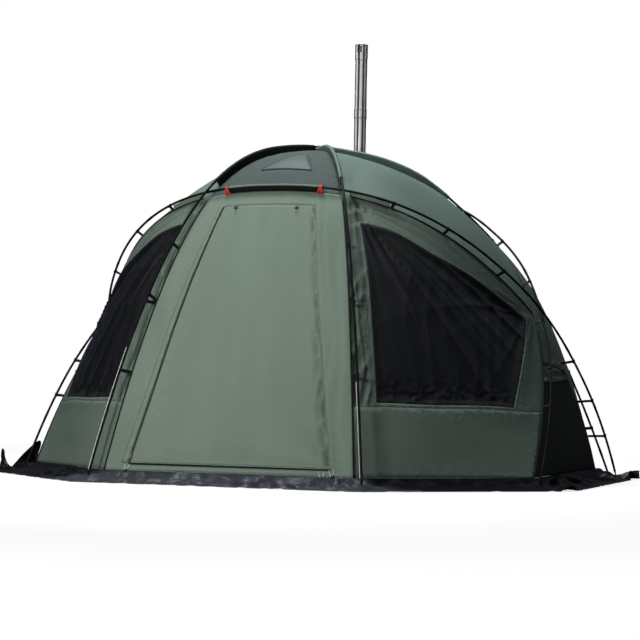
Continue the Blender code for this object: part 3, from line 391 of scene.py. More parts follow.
class Four(Panel):
    # a panel between four seams, blended from its edges
    places = ((0, 0), (1, 0), (1, 1), (0, 1))

    def __init__(self, *corners):
        self.corners = corners
        a, b, c, d = corners
        self.scale = np.array(((edge_length(a, b) + edge_length(d, c)) / 2,
                               (edge_length(a, d) + edge_length(b, c)) / 2))

    def at(self, uv):
        a, b, c, d = self.corners
        u, v = uv[:, 0], uv[:, 1]
        U, V = u[:, None], v[:, None]
        sides = (1 - V) * edge_at(a, b, u) + V * edge_at(d, c, u)
        sides = sides + (1 - U) * edge_at(a, d, v) + U * edge_at(b, c, v)
        pa, pb, pc, pd = (spots[k] for k in self.corners)
        return sides - (1 - U) * (1 - V) * pa - U * (1 - V) * pb - U * V * pc - (1 - U) * V * pd


class Three(Panel):
    # a panel between three seams
    places = ((0, 0), (1, 0), (0, 1))

    def __init__(self, *corners):
        self.corners = corners
        a, b, c = corners
        self.scale = np.array((edge_length(a, b), edge_length(a, c)))

    def at(self, uv):
        a, b, c = self.corners
        u, v = uv[:, 0], uv[:, 1]
        w = 1 - u - v
        U, V, W = u[:, None], v[:, None], w[:, None]
        pa, pb, pc = (spots[k] for k in self.corners)
        one = W * (edge_at(a, b, u) + edge_at(a, c, v) - pa)
        two = U * (edge_at(b, c, v) + edge_at(b, a, w) - pb)
        return one + two + V * (edge_at(c, a, w) + edge_at(c, b, u) - pc)


panels = {
    "front": Four("F1", "F2", "BR", "BL"),
    "side_right": Four("F2", "F3", "XR", "BR"),
    "side_left": Four("F1", "F8", "XL", "BL"),
    "roof_right": Four("BR", "XR", "KR", "TOP"),
    "roof_left": Four("BL", "XL", "KL", "TOP"),
    "roof_front": Three("BL", "BR", "TOP"),
    "roof_rear": Three("KL", "KR", "TOP"),
    "rear_side_right": Three("F3", "F4", "XR"),
    "rear_side_left": Three("F8", "F7", "XL"),
    "corner_right": Three("F4", "KR", "XR"),
    "corner_left": Three("F7", "KL", "XL"),
    "back": Four("F7", "F4", "KR", "KL"),
}


def divide(points, scale, step):
    # the same corners with points added between them
    out = [tuple(points[0])]
    for p, q in zip(points[:-1], points[1:]):
        p, q = np.array(p, float), np.array(q, float)
        n = max(1, int(round(np.linalg.norm((q - p) * scale) / step)))
        out += [tuple(p + (q - p) * i / n) for i in range(1, n + 1)]
    return out


def rounded(points, scale, step):
    # smooth curve through a few sewn points
    pts = [np.array(p, float) for p in points]
    n = len(pts)
    out = []
    for i in range(n - 1):
        p0, p1, p2, p3 = pts[max(0, i - 1)], pts[i], pts[i + 1], pts[min(n - 1, i + 2)]
        m = max(1, int(round(np.linalg.norm((p2 - p1) * scale) / step)))
        for k in range(m):
            x = k / m
            out.append(tuple(0.5 * (2 * p1 + (p2 - p0) * x + (2 * p0 - 5 * p1 + 4 * p2 - p3) * x * x
                                    + (3 * p1 - p0 - 3 * p2 + p3) * x ** 3)))
    out.append(tuple(pts[-1]))
    return out


def within(p, loop):
    # which points lie inside the loop
    loop = np.asarray(loop)
    nxt = np.roll(loop, -1, axis=0)
    hit = np.zeros(len(p), bool)
    for (x0, y0), (x1, y1) in zip(loop, nxt):
        if y0 != y1:
            cut = (y0 > p[:, 1]) != (y1 > p[:, 1])
            hit ^= cut & (p[:, 0] < x0 + (p[:, 1] - y0) * (x1 - x0) / (y1 - y0))
    return hit


def reach(p, loop):
    # each point's distance from the loop
    loop = np.asarray(loop)
    best = np.full(len(p), 9.0)
    for a, b in zip(loop, np.roll(loop, -1, axis=0)):
        span = b - a
        k = np.clip(((p - a) @ span) / max(span @ span, 1e-12), 0, 1)
        best = np.minimum(best, np.linalg.norm(a + k[:, None] * span - p, axis=1))
    return best


DOME = 0.004
ROW_HEIGHT = 0.87
# depth of fold at which the painted shade in the hollows is darkest
HOLLOW = 0.014
CLOTH_THICK = 0.0012


def cut_cloth(panel, outline, holes, step):
    # triangles of a cut shape in the panel's own plane, its shares and the distance to the cut
    middle = np.mean(np.array(outline) * panel.scale, axis=0)
    loops = []
    for loop in [outline] + holes:
        q = np.array(loop) * panel.scale - middle
        loops.append(q * (1 - DOME * (q ** 2).sum(axis=1))[:, None])
    low, high = loops[0].min(axis=0), loops[0].max(axis=0)
    grid = []
    rows = int((high[1] - low[1]) / (step * ROW_HEIGHT)) + 2
    for j in range(rows):
        x = np.arange(low[0] + (j % 2) * step / 2, high[0], step)
        grid.append(np.stack([x, np.full(len(x), low[1] + j * step * ROW_HEIGHT)], axis=1))
    grid = np.concatenate(grid)
    keep = within(grid, loops[0])
    for loop in loops[1:]:
        keep &= ~within(grid, loop)
    grid = grid[keep]
    near = np.min([reach(grid, loop) for loop in loops], axis=0)
    grid = grid[near > step * 0.45]
    pts = [tuple(p) for loop in loops for p in loop] + [tuple(p) for p in grid]
    edges, start = [], 0
    for loop in loops:
        edges += [(start + i, start + (i + 1) % len(loop)) for i in range(len(loop))]
        start += len(loop)
    made = delaunay_2d_cdt([Vector(p) for p in pts], edges, [], 0, 1e-7)
    flat = np.array([tuple(p) for p in made[0]])
    tris = np.array([tuple(f) for f in made[2]])
    c = flat[tris].mean(axis=1)
    keep = within(c, loops[0])
    for loop in loops[1:]:
        keep &= ~within(c, loop)
    area = np.cross(flat[tris[:, 1]] - flat[tris[:, 0]], flat[tris[:, 2]] - flat[tris[:, 0]])
    keep &= np.abs(area) > 1e-9
    tris = np.where(area[:, None] > 0, tris, tris[:, ::-1])[keep]
    edge = np.min([reach(flat, loop) for loop in loops], axis=0)
    r = flat.copy()
    for _ in range(30):
        r = flat / (1 - DOME * (r ** 2).sum(axis=1))[:, None]
    return (r + middle) / panel.scale, tris, edge


def thicken(obj, thick, offset=-1.0):
    cloth = obj.modifiers.new("cloth thickness", "SOLIDIFY")
    cloth.thickness = thick
    cloth.offset = offset
    return cloth


def face_out(obj):
    bm = bmesh.new()
    bm.from_mesh(obj.data)
    bmesh.ops.recalc_face_normals(bm, faces=bm.faces)
    bm.to_mesh(obj.data)
    bm.free()


def waves(points, size, seed):
    # smooth random hills of this size over the cloth
    return np.array([noise.noise(Vector((p[0] / size[0] + seed, p[1] / size[1] - seed, seed * 1.7)))
                     for p in points])


def sewn(name, panel, outline, holes=(), step=0.032, lift=None, thick=CLOTH_THICK, material=None,
         body="tent"):
    # a piece of cloth laid on its panel, lifted by its folds and given its thickness
    uv, tris, edge = cut_cloth(panel, outline, list(holes), step)
    places = panel.at(uv)
    ways = places - CENTRE
    ways /= np.linalg.norm(ways, axis=1)[:, None]
    metres = uv * panel.scale
    height = lift(uv, metres, edge) if lift else np.zeros(len(uv))
    places = places + ways * height[:, None]
    a, b, c = places[tris[:, 0]], places[tris[:, 1]], places[tris[:, 2]]
    if (np.cross(b - a, c - a) * ways[tris[:, 0]]).sum() < 0:
        tris = tris[:, ::-1]
    obj = mesh_object(name, places, tris, metres)
    mark = obj.data.attributes.new("edge", "FLOAT", "POINT")
    mark.data.foreach_set("value", edge.astype(np.float32))
    # painted shade: the hollow attribute holds how deep each point lies in a fold, and the cloth material
    # darkens the colour there
    hollow = obj.data.attributes.new("hollow", "FLOAT", "POINT")
    hollow.data.foreach_set("value", np.clip(-height / HOLLOW, 0, 1).astype(np.float32))
    thicken(obj, thick)
    obj["area"] = float(np.linalg.norm(np.cross(b - a, c - a), axis=1).sum() / 2)
    obj["wide"], obj["tall"] = (float(x) for x in np.ptp(metres, axis=0))
    return dress(obj, material, body)


FLAT_SPARE, LEAST_SHARE = 1.002, 0.31


def declare(obj):
    # the size of the flat piece that the cloth is cut from; it is worked out but not kept
    wide, tall, area = obj["wide"], obj["tall"], obj["area"]
    grow = max(1.0, math.sqrt(area / (wide * tall)) * FLAT_SPARE)
    wide, tall = wide * grow, tall * grow
    while area < LEAST_SHARE * wide * tall:
        wide *= 0.95


THREADS = 75.0


def woven(name, color, spread=0.10, rough=0.78, stitch=True, sheen=0.0, shine=0.35):
    material, tree, shader = node_material(name)
    _, mix, relief = speckle(tree, shader, color, spread, 2.3, rough, 0.06, 0.25, 260.0)
    threads = put(tree, "UVMap")
    heights = []
    for turn in (0.0, math.pi / 2):
        spin = put(tree, "Mapping", {"Rotation": (0.0, 0.0, turn), "Vector": threads.outputs["UV"]})
        wave = put(tree, "TexWave", {"Scale": THREADS, "Distortion": 0.6, "Detail": 1.0,
                                     "Vector": spin.outputs["Vector"]})
        heights.append(wave)
    both = put(tree, "Math", {0: heights[0].outputs["Fac"], 1: heights[1].outputs["Fac"]},
               operation="MULTIPLY")
    cloth_bump = put(tree, "Bump", {"Strength": 0.12, "Distance": 0.0006, "Height": both.outputs["Value"],
                                    "Normal": relief.outputs["Normal"]})
    tree.links.new(cloth_bump.outputs["Normal"], shader.inputs["Normal"])
    if stitch:
        # a folded seam allowance with two rows of stitching along every sewn edge
        edge = put(tree, "Attribute", attribute_name="edge")
        ramp = put(tree, "ValToRGB")
        marks = ((0.0, 0.80), (0.03, 0.84), (0.07, 1.0), (0.155, 1.0), (0.175, 0.80), (0.195, 1.01),
                 (0.40, 1.02), (0.42, 0.82), (0.45, 1.0))
        while len(ramp.color_ramp.elements) < len(marks):
            ramp.color_ramp.elements.new(0.5)
        for spot, (where, tone) in zip(ramp.color_ramp.elements, marks):
            spot.position = where
            spot.color = (tone, tone, tone, 1)
        span = put(tree, "Math", {1: 20.0, 0: edge.outputs["Fac"]}, operation="MULTIPLY")
        tree.links.new(span.outputs["Value"], ramp.inputs["Fac"])
        tone = put(tree, "Mix", {"Factor": 1.0, "A": mix.outputs["Result"], "B": ramp.outputs["Color"]},
                   data_type="RGBA", blend_type="MULTIPLY")
        # painted shade: cloth that sinks into a fold is darkened, down to 0.45 of its colour at HOLLOW deep
        low = put(tree, "Attribute", attribute_name="hollow")
        shade = put(tree, "Mix", {"B": (0.45, 0.45, 0.45, 1), "Factor": low.outputs["Fac"],
                                  "A": tone.outputs["Result"]}, data_type="RGBA", blend_type="MULTIPLY")
        tree.links.new(shade.outputs["Result"], shader.inputs["Base Color"])
        # short gathers that fade away from the sewing
        gathers = put(tree, "TexNoise", {"Scale": 17.0, "Detail": 5.0, "Distortion": 1.1,
                                         "Vector": threads.outputs["UV"]})
        fade = put(tree, "MapRange", {"From Min": 0.0, "From Max": 0.16, "To Min": 1.0, "To Max": 0.12,
                                      "Value": edge.outputs["Fac"]}, interpolation_type="SMOOTHSTEP")
        drawn = put(tree, "Math", {0: gathers.outputs["Fac"], 1: fade.outputs["Result"]},
                    operation="MULTIPLY")
        drawn_bump = put(tree, "Bump", {"Strength": 0.55, "Distance": 0.012, "Height": drawn.outputs["Value"],
                                        "Normal": cloth_bump.outputs["Normal"]})
        tree.links.new(drawn_bump.outputs["Normal"], shader.inputs["Normal"])
    shader.inputs["Sheen Weight"].default_value = sheen
    shader.inputs["Sheen Roughness"].default_value = 0.25
    shader.inputs["Specular IOR Level"].default_value = shine
    return material


thread = painted("pale sewing thread", (0.34, 0.36, 0.35), 0.3, 50.0, 0.7, 0.1, 0.5, 1200.0)
thread_green = painted("dark green sewing thread", (0.060, 0.080, 0.065), 0.3, 50.0, 0.7, 0.1, 0.5, 1200.0)
GREEN = (0.172, 0.230, 0.180)
ROOF_GREEN = (0.150, 0.210, 0.176)
# painted shade: the side walls, the lower walls and the rolled flaps use a darker copy of the body green,
# standing in for the shade on the sides
SHADED_SIDE_GREEN = (0.134, 0.181, 0.144)
green_cloth = woven("green body cloth", GREEN)
shaded_side_cloth = woven("green side wall cloth with painted shade", SHADED_SIDE_GREEN)
roof_cloth = woven("green roof cloth", ROOF_GREEN)
dark_cloth = woven("dark mesh cloth", (0.0085, 0.0115, 0.0085), 0.25, 0.75, shine=0.25)
window_cloth = woven("dark window cloth", (0.0036, 0.0038, 0.0046), 0.3, 0.50, stitch=False, sheen=0.06,
                     shine=0.22)
window_cloth.node_tree.nodes["Principled BSDF"].inputs["Sheen Tint"].default_value = (0.45, 0.55, 0.85, 1)


def soft(scale, height, seed):
    # gentle hills that end at the sewn edge
    def lift(uv, metres, edge):
        return waves(metres, (scale, scale), seed) * height * np.clip(edge / 0.05, 0, 1)
    return lift


def pucker(metres, edge, seed, height=0.0022, depth=0.07):
    # small gathers beside the stitching
    near = np.exp(-edge / depth) * np.clip(edge / 0.006, 0, 1)
    return near * height * waves(metres, (0.035, 0.035), seed)


def creased(x, sharp=0.6):
    # a fold line: rounded hollow between narrow ridges
    return 1 - 2 * np.abs(np.sin(x / 2)) ** sharp


def radiating(uv, panel, corner, height, count, length, seed, sharp=0.8):
    # folds that run out from a corner where the cloth is pulled
    d = (uv - np.array(corner)) * panel.scale
    r = np.linalg.norm(d, axis=1)
    angle = np.arctan2(d[:, 1], d[:, 0])
    ripple = creased(angle * count + seed + 2.0 * np.sin(angle * 3.1 + seed), sharp)
    ripple = ripple * (0.55 + 0.45 * np.sin(angle * 7.3 + seed * 2))
    return height * ripple * np.exp(-r / length) * np.clip(r / 0.10, 0, 1)


def fans(uv, panel, *corners):
    # the folds of several corners together
    return sum(radiating(uv, panel, *corner) for corner in corners)


def ribbon(name, centre, across, half, thick, material):
    # flat band along a line: centre points, the band's sideways direction and half width at each
    centre, across = np.asarray(centre, float), np.asarray(across, float)
    half = np.broadcast_to(half, len(centre))
    verts, uvs = [], []
    run = np.concatenate(([0], np.cumsum(np.linalg.norm(np.diff(centre, axis=0), axis=1))))
    ways = np.gradient(centre, axis=0)
    for c, a, w, h, d in zip(centre, across, ways, half, run):
        a = unit(a)
        up_way = unit(np.cross(unit(w), a))
        for i, j in ((-1, -1), (1, -1), (1, 1), (-1, 1)):
            verts.append(c + a * h * i + up_way * thick / 2 * j)
            uvs.append((d, h * i))
    n = len(centre)
    faces = grid_faces(n, 4, closed=True) + [(3, 2, 1, 0), tuple(4 * (n - 1) + i for i in range(4))]
    obj = mesh_object(name, verts, faces, uvs)
    face_out(obj)
    dress(obj, material, smooth=False)


def stitches(name, panel, line, material, step=0.012, dash=0.008, width=0.0022, lift=0.0006):
    # a row of short raised threads along a line of the panel's shares
    pts = even(panel.at(np.array(line)), step)
    verts, faces = [], []
    for p, q in zip(pts[:-1], pts[1:]):
        way, face = unit(q - p), outward(p)
        across = np.cross(way, face)
        base = len(verts)
        for k, h in ((0.0, 0.3), (0.25, 1.0), (0.75, 1.0), (1.0, 0.3)):
            for i in (-1, 0, 1):
                side = across * i * width / 2 * (1 if h == 1 else 0.6)
                verts.append(p + way * dash * k + side + face * (lift + 0.0009 * h * (1 - abs(i) * 0.8)))
        faces += [(base + 3 * k + i, base + 3 * k + i + 1, base + 3 * k + i + 4, base + 3 * k + i + 3)
                  for k in range(3) for i in range(2)]
        faces.append((base, base + 3, base + 6, base + 9, base + 11, base + 8, base + 5, base + 2))
    obj = mesh_object(name, verts, faces)
    face_out(obj)
    dress(obj, material)


# Front wall: one green panel with the door cut out of it. A storm flap covers the zip on its left
# and the wall's cloth is gathered in long upright folds at the sewn edge on its right.
front = panels["front"]
DOOR_LEFT = ((0.178, 0.937), (0.174, 0.79), (0.160, 0.638), (0.149, 0.514), (0.129, 0.271), (0.100, 0.026))
DOOR_RIGHT_V = (0.026, 0.10, 0.244, 0.375, 0.52, 0.66, 0.801, 0.87, 0.937)
HINGE_LOW_U, HINGE_HIGH_U = 0.912, 0.822
ZIP_SHARE = 0.0085
WALL_STEP, DOOR_STEP = 0.018, 0.0125
WALL_FOLD = 0.011
HINGE_FOLD, HINGE_REACH, SLANTED_FOLD = 0.015, 0.034, 0.008


def front_at(u, v):
    return front.at(np.array(((u, v),)))[0]


hinge_low, hinge_high = front_at(HINGE_LOW_U, DOOR_RIGHT_V[0]), front_at(HINGE_HIGH_U, DOOR_RIGHT_V[-1])
hinge_axis = unit(hinge_high - hinge_low)
hinge_out = unit((0.0, -hinge_axis[2], hinge_axis[1]))
hinge_side = np.cross(hinge_axis, hinge_out)
door_right = []
for v in DOOR_RIGHT_V:
    low, high = 0.5, 1.0
    for _ in range(40):
        middle = (low + high) / 2
        low, high = (middle, high) if (front_at(middle, v) - hinge_low) @ hinge_side < 0 else (low, middle)
    door_right.append((low, v))
STEP = 0.028
left_line = rounded(DOOR_LEFT, front.scale, STEP)
right_line = rounded(door_right, front.scale, STEP)
low_line = divide([left_line[-1], right_line[0]], front.scale, STEP)
top_line = divide([right_line[-1], left_line[0]], front.scale, STEP)
zip_left = [(u - ZIP_SHARE, v) for u, v in left_line[:-1]]
zip_corner = (left_line[-1][0] - ZIP_SHARE, left_line[-1][1] - ZIP_SHARE)
zip_low = [(u, v - ZIP_SHARE) for u, v in low_line[1:]]
door_hole = right_line[:-1] + top_line + zip_left + [zip_corner] + zip_low
door_cut = right_line[:-1] + top_line[:-1] + left_line[:-1] + low_line[:-1]
zip_cut = zip_left + [zip_corner] + zip_low + low_line[::-1] + left_line[::-1][1:]


def front_folds(uv, metres, edge):
    hold = np.clip(edge / 0.012, 0, 1)
    upright = creased(uv[:, 0] * 90 + 9 * waves(metres, (0.25, 0.8), 4.0)) * WALL_FOLD
    upright = upright * (0.3 + 1.4 * np.abs(waves(metres, (0.12, 0.6), 3.0)))
    right_band = np.clip((uv[:, 0] - 0.80) / 0.06, 0, 1)
    left_band = np.clip((0.13 - uv[:, 0]) / 0.05, 0, 1)
    folds = upright * (0.4 * right_band + 0.25 * left_band) + waves(metres, (0.25, 0.5), 2.0) * 0.003
    return hold * folds + pucker(metres, edge, 7.0, 0.0012)


piece = sewn("front_wall_cloth", front, front.ring(0.02), [door_hole], WALL_STEP, front_folds,
             material=green_cloth)
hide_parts("front_wall")
declare(piece)


def door_folds(uv, metres, edge):
    hold = np.clip(edge / 0.04, 0, 1)
    broad = waves(metres, (0.5, 0.9), 11.0) * 0.003 + waves(metres, (0.10, 0.75), 12.0) * 0.0018
    hinge_u = HINGE_LOW_U + (HINGE_HIGH_U - HINGE_LOW_U) * uv[:, 1]
    near_hinge = np.exp(-(np.clip(hinge_u - uv[:, 0], 0, 1) / HINGE_REACH) ** 2)
    ripple = (hinge_u - uv[:, 0]) * 150 + 8 * waves(metres, (0.2, 0.40), 5.0)
    upright = near_hinge * HINGE_FOLD * creased(ripple)
    upright = upright * (0.45 + 0.55 * np.abs(waves(metres, (0.5, 0.35), 6.0)) * 2)
    slanted = metres[:, 1] * 30 + (hinge_u - uv[:, 0]) * 70 + 6 * waves(metres, (0.25, 0.3), 7.0)
    upright = upright + near_hinge * SLANTED_FOLD * creased(slanted, 0.4)
    upright = upright * np.clip(edge / 0.010, 0, 1)
    low = fans(uv, front, ((0.10, 0.03), 0.0035, 9, 0.35, 1.0), ((0.90, 0.03), 0.0035, 9, 0.30, 2.0))
    return hold * (broad + low) + upright + pucker(metres, edge, 13.0)


piece = sewn("door_cloth", front, door_cut, [], DOOR_STEP, door_folds, material=green_cloth, body=None)
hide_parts("door_panel")
declare(piece)
# the way in which the cloth beside the sewn edge would turn with the door, and where the turn starts; the
# turn itself is not made
turn_way = unit(np.cross(hinge_high - hinge_low, outward(hinge_low)))
turn_way = turn_way if turn_way[0] < 0 else -turn_way
turn_start = hinge_low + turn_way * max((front_at(u, v) - hinge_low) @ turn_way for u, v in right_line)
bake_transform(piece)

# Side walls: green cloth with a big window on each side above a sill seam, and a plain lower wall.
# The window is fine black mesh with a dark curtain hanging in loose folds behind it.
SILL = ((0.0, 0.225), (0.12, 0.232), (0.44, 0.262), (0.83, 0.334), (1.0, 0.385))
WINDOW_TOP = ((0.065, 0.893), (0.20, 0.897), (0.38, 0.874), (0.545, 0.878), (0.70, 0.882), (0.911, 0.889))
WINDOW_BACK = ((0.911, 0.889), (0.862, 0.60), (0.828, 0.350))
WINDOW_LOW = ((0.828, 0.350), (0.44, 0.275), (0.12, 0.246))
WINDOW_FRONT = ((0.12, 0.246), (0.103, 0.476), (0.085, 0.724), (0.065, 0.893))
FLAP_FRONT, FLAP_BACK = 0.571, 0.60
SIDE_STEP, FLAP_STEP = 0.0135, 0.015
STRIP_FOLD, STRIP_SLANTED, STRIP_END = 0.008, 0.009, 0.115
CURTAIN_TOP = (0.05, 0.95)
TIE_SHARES = np.linspace(0, 1, 9)
FLAP_TOGGLE_RADII = (0.002, 0.0045, 0.0055, 0.0055, 0.0045, 0.002)
tie_webbing = painted("black tie webbing", (0.012, 0.012, 0.012), 0.3, 60.0, 0.7, 0.1, 0.5, 900.0)
for side in ("right", "left"):
    wall = panels["side_" + side]
    seed = 20.0 if side == "right" else 30.0
    ring = wall.ring(STEP)
    sill = rounded(SILL, wall.scale, STEP)
    lower = [p for p in ring if p[1] == 0] + [p for p in ring if p[0] == 1 and 0 < p[1] < SILL[-1][1] - 0.01]
    lower += sill[::-1] + [p for p in ring if p[0] == 0 and 0 < p[1] < SILL[0][1] - 0.01]
    upper = sill + [p for p in ring if p[0] == 1 and p[1] > SILL[-1][1] + 0.01]
    upper += [p for p in ring if p[1] == 1 and p[0] < 1]
    upper += [p for p in ring if p[0] == 0 and SILL[0][1] + 0.01 < p[1] < 1]
    window = []
    for part in (WINDOW_TOP, WINDOW_BACK, WINDOW_LOW, WINDOW_FRONT):
        window += rounded(part, wall.scale, 0.02)[:-1]

    def wall_folds(uv, metres, edge):
        hold = np.clip(edge / 0.02, 0, 1)
        strip = creased(uv[:, 0] * 190 + 9 * waves(metres, (0.12, 0.35), seed)) * STRIP_FOLD
        slanted = metres[:, 1] * 26 - uv[:, 0] * 75 + 7 * waves(metres, (0.2, 0.3), seed + 3)
        strip = strip + creased(slanted, 0.4) * STRIP_SLANTED
        strip = strip * np.clip((STRIP_END - uv[:, 0]) / 0.04, 0, 1)
        drawn = fans(uv, wall, ((0.02, 0.97), 0.011, 30, 0.6, seed, 0.6),
                     ((0.97, 0.97), 0.009, 26, 0.5, seed, 0.6))
        folds = strip + drawn + waves(metres, (0.14, 0.3), seed + 1) * 0.003
        return hold * folds + pucker(metres, edge, seed + 2, 0.002, 0.05)

    def window_folds(uv, metres, edge):
        hold = np.clip(edge / 0.04, 0, 1)
        fan = fans(uv, wall, (CURTAIN_TOP, 0.024, 30, 1.5, seed, 0.55),
                   ((0.93, 0.92), 0.009, 24, 0.6, seed, 0.55))
        away = np.linalg.norm((uv - np.array(CURTAIN_TOP)) * wall.scale, axis=1)
        fine = radiating(uv, wall, CURTAIN_TOP, 0.005, 64, 1.2, seed + 5, 0.7)
        fan = fan + fine * np.clip(away / 0.5, 0, 1)
        hang = creased(metres[:, 0] * 38 + 7 * waves(metres, (0.3, 0.8), seed + 3), 0.6) * 0.006
        hang = hang * np.clip(1.2 - uv[:, 1], 0, 1)
        low_edge = 0.246 + (0.350 - 0.246) * np.clip((uv[:, 0] - 0.12) / 0.7, 0, 1)
        near = np.exp(-np.clip(uv[:, 1] - low_edge, 0, 1) / 0.045)
        gather = creased(metres[:, 0] * 70 + 6 * waves(metres, (0.08, 0.05), seed + 4)) * 0.009
        gather = near * (gather + waves(metres, (0.05, 0.02), seed + 6) * 0.012)
        return hold * (fan + hang + gather) - 0.008 * hold

    def low_folds(uv, metres, edge):
        hold = np.clip(edge / 0.03, 0, 1)
        return hold * waves(metres, (0.3, 0.15), seed + 5) * 0.004 + pucker(metres, edge, seed + 6)

    piece = sewn("side_wall_cloth_" + side, wall, upper, [window], SIDE_STEP, wall_folds, material=shaded_side_cloth)
    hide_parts("side_wall_" + side)
    declare(piece)
    piece = sewn("lower_wall_cloth_" + side, wall, lower, [], STEP, low_folds, material=shaded_side_cloth)
    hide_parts("lower_wall_" + side)
    declare(piece)
    piece = sewn("side_window_curtain_" + side, wall, window, [], SIDE_STEP, window_folds,
                 material=window_cloth)
    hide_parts("side_window_" + side)
    declare(piece)
    rim = np.array(window + window[:1])
    out_way = rim - np.mean(rim, axis=0)
    out_way /= np.linalg.norm(out_way * wall.scale, axis=1)[:, None]
    stitches("side_window_stitches_" + side, wall, rim + out_way * 0.006, thread, 0.013, 0.007, 0.0024)

    # Rear side: dark mesh panel below, with the green cover folded up above it and tied with a toggle
    rear = panels["rear_side_" + side]
    ring = rear.ring(STEP)
    fold = rounded(((0.0, FLAP_FRONT), (0.18, 0.57), (0.40, FLAP_BACK)), rear.scale, STEP)
    low_part = [p for p in ring if p[1] < FLAP_BACK - 0.01 and (p[0] > 0 or p[1] == 0)] + fold[::-1]
    low_part += [p for p in ring if p[0] == 0 and 0 < p[1] < FLAP_FRONT - 0.01]
    top_part = fold + [p for p in ring if p[1] > FLAP_BACK + 0.01 and p[0] > 0]
    top_part += [p for p in ring if p[0] == 0 and p[1] > FLAP_FRONT + 0.01]

    def flap_folds(uv, metres, edge):
        roll = np.clip(1 - (uv[:, 1] - 0.57) / 0.16, 0, 1)
        layers = np.sin(uv[:, 1] * 130 + 3 * waves(metres, (0.15, 0.2), seed))
        return np.clip(edge / 0.015, 0, 1) * (0.012 * roll * (1.2 + layers))

    piece = sewn("rear_side_mesh_" + side, rear, low_part, [], STEP, soft(0.2, 0.008, seed + 8),
                 material=dark_cloth)
    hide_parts("rear_side_" + side)
    declare(piece)
    piece = sewn("rolled_flap_cloth_" + side, rear, top_part, [], FLAP_STEP, flap_folds, material=shaded_side_cloth)
    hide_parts("rolled_flap_" + side)
    declare(piece)

    for k, at in enumerate((0.16, 0.42)):
        shares = [(at * (1 - x), FLAP_FRONT + 0.012 + 0.11 * x) for x in TIE_SHARES]
        spine = rear.at(np.array(shares))
        bulge = 0.010 + 0.022 * np.sin(TIE_SHARES * math.pi)
        spine = np.array([q + outward(q) * h for q, h in zip(spine, bulge)])
        ends = rear.at(np.array(((at, FLAP_FRONT + 0.05), (at + 0.05, FLAP_FRONT + 0.05))))
        across = unit(ends[1] - ends[0])
        ribbon(f"flap_tie_{side}_{k + 1}", spine, [across] * 9, 0.009, 0.0016, tie_webbing)
        bead = [spine[4] + outward(spine[4]) * 0.005 + across * x
                for x in (-0.018, -0.016, -0.012, 0.012, 0.016, 0.018)]
        tube(f"flap_toggle_{side}_{k + 1}", bead, FLAP_TOGGLE_RADII, 12, tie_webbing)

    # Side roof panel, drawn tight over the ridges
    roof = panels["roof_" + side]

    def roof_folds(uv, metres, edge):
        hold = np.clip(edge / 0.03, 0, 1)
        drawn = fans(uv, roof, ((1.0, 0.0), 0.010, 16, 0.35, seed), ((0.0, 0.0), 0.006, 12, 0.30, seed + 1),
                     ((1.0, 1.0), 0.006, 12, 0.30, seed + 2))
        folds = drawn + waves(metres, (0.35, 0.6), seed + 7) * 0.005
        return hold * folds + pucker(metres, edge, seed + 9)

    piece = sewn("roof_cloth_" + side, roof, roof.ring(STEP), [], STEP, roof_folds, material=roof_cloth)
    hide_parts("roof_" + side)
    declare(piece)

# Rear wall: one wide panel between the rear corners and a narrow one beside it at each end.
# Plain green body cloth, sewn along the ridges under the poles.
REAR_STEP = 0.022
for key in ("back", "corner_right", "corner_left"):
    panel = panels[key]

    def rear_folds(uv, metres, edge):
        drawn = waves(metres, (0.4, 0.6), 41.0) * 0.003
        for corner, seed in (((0.0, 1.0), 42.0), ((1.0, 1.0 if key == "back" else 0.0), 43.0),
                             ((0.0, 0.0), 44.0)):
            drawn = drawn + radiating(uv, panel, corner, 0.007, 22, 0.35, seed, 0.7)
        return np.clip(edge / 0.03, 0, 1) * drawn + pucker(metres, edge, 45.0)

    piece = sewn("rear_wall_cloth_" + key, panel, panel.ring(STEP), [], REAR_STEP, rear_folds,
                 material=green_cloth)
    declare(piece)
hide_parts("rear_wall")

# Front roof panel: slate green cloth under the crossing of the poles, sewn into the ridges.
# A small window of clear film is sewn into its left half, with a black hem along its low edge.
VENT = ((0.247, 0.203), (0.328, 0.430), (0.368, 0.456), (0.613, 0.207))
VENT_HEM_RADIUS = 0.0042
roof = panels["roof_front"]
vent = divide(list(VENT) + [VENT[0]], roof.scale, 0.02)[:-1]
vent_cloth = woven("slate green vent cloth", (0.058, 0.082, 0.073))
piece = sewn("roof_front_cloth", roof, roof.ring(0.02), [vent], 0.02, soft(0.1, 0.003, 51.0),
             material=vent_cloth)
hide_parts("roof_front")
declare(piece)
film = painted("clear vent film", (0.105, 0.140, 0.130), 0.15, 6.0, 0.50, 0.08, 0.4, 40.0, shine=0.2)
film.node_tree.nodes["Principled BSDF"].inputs["Alpha"].default_value = 0.88
piece = sewn("vent_film", roof, vent, [], 0.02, soft(0.06, 0.003, 52.0), 0.0008, film)
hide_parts("vent_window")
declare(piece)
hem_black = painted("black vent hem", (0.006, 0.007, 0.006), 0.3, 40.0, 0.6, 0.1, 0.5, 700.0)
hem_line = roof.at(np.array([(1 - x) * np.array(VENT[0]) + x * np.array(VENT[3])
                             for x in np.linspace(0.02, 0.98, 30)]))
tube("vent_hem", [q + outward(q) * 0.002 for q in hem_line], VENT_HEM_RADIUS, 8, hem_black)

# Rear roof panel with the stove jack: green roof cloth with a square opening near the crossing.
# A square of heat-proof cloth with a round hole for the pipe is sewn into it.
PIPE = np.array((0.180, 0.445))
JACK_HOLE = 0.0425
JACK_HALF = 0.088
SMALL = 0.0003
roof = panels["roof_rear"]


def share_at(x, y):
    # where the panel stands over this point of the ground
    p = np.array((1 / 3, 1 / 3))
    for _ in range(40):
        q = roof.at(np.array((p, p + (SMALL, 0), p + (0, SMALL))))[:, :2]
        slope = np.array(((q[1] - q[0]) / SMALL, (q[2] - q[0]) / SMALL)).T
        p = p + np.linalg.solve(slope, np.array((x, y)) - q[0]) / 2
    return (float(p[0]), float(p[1]))


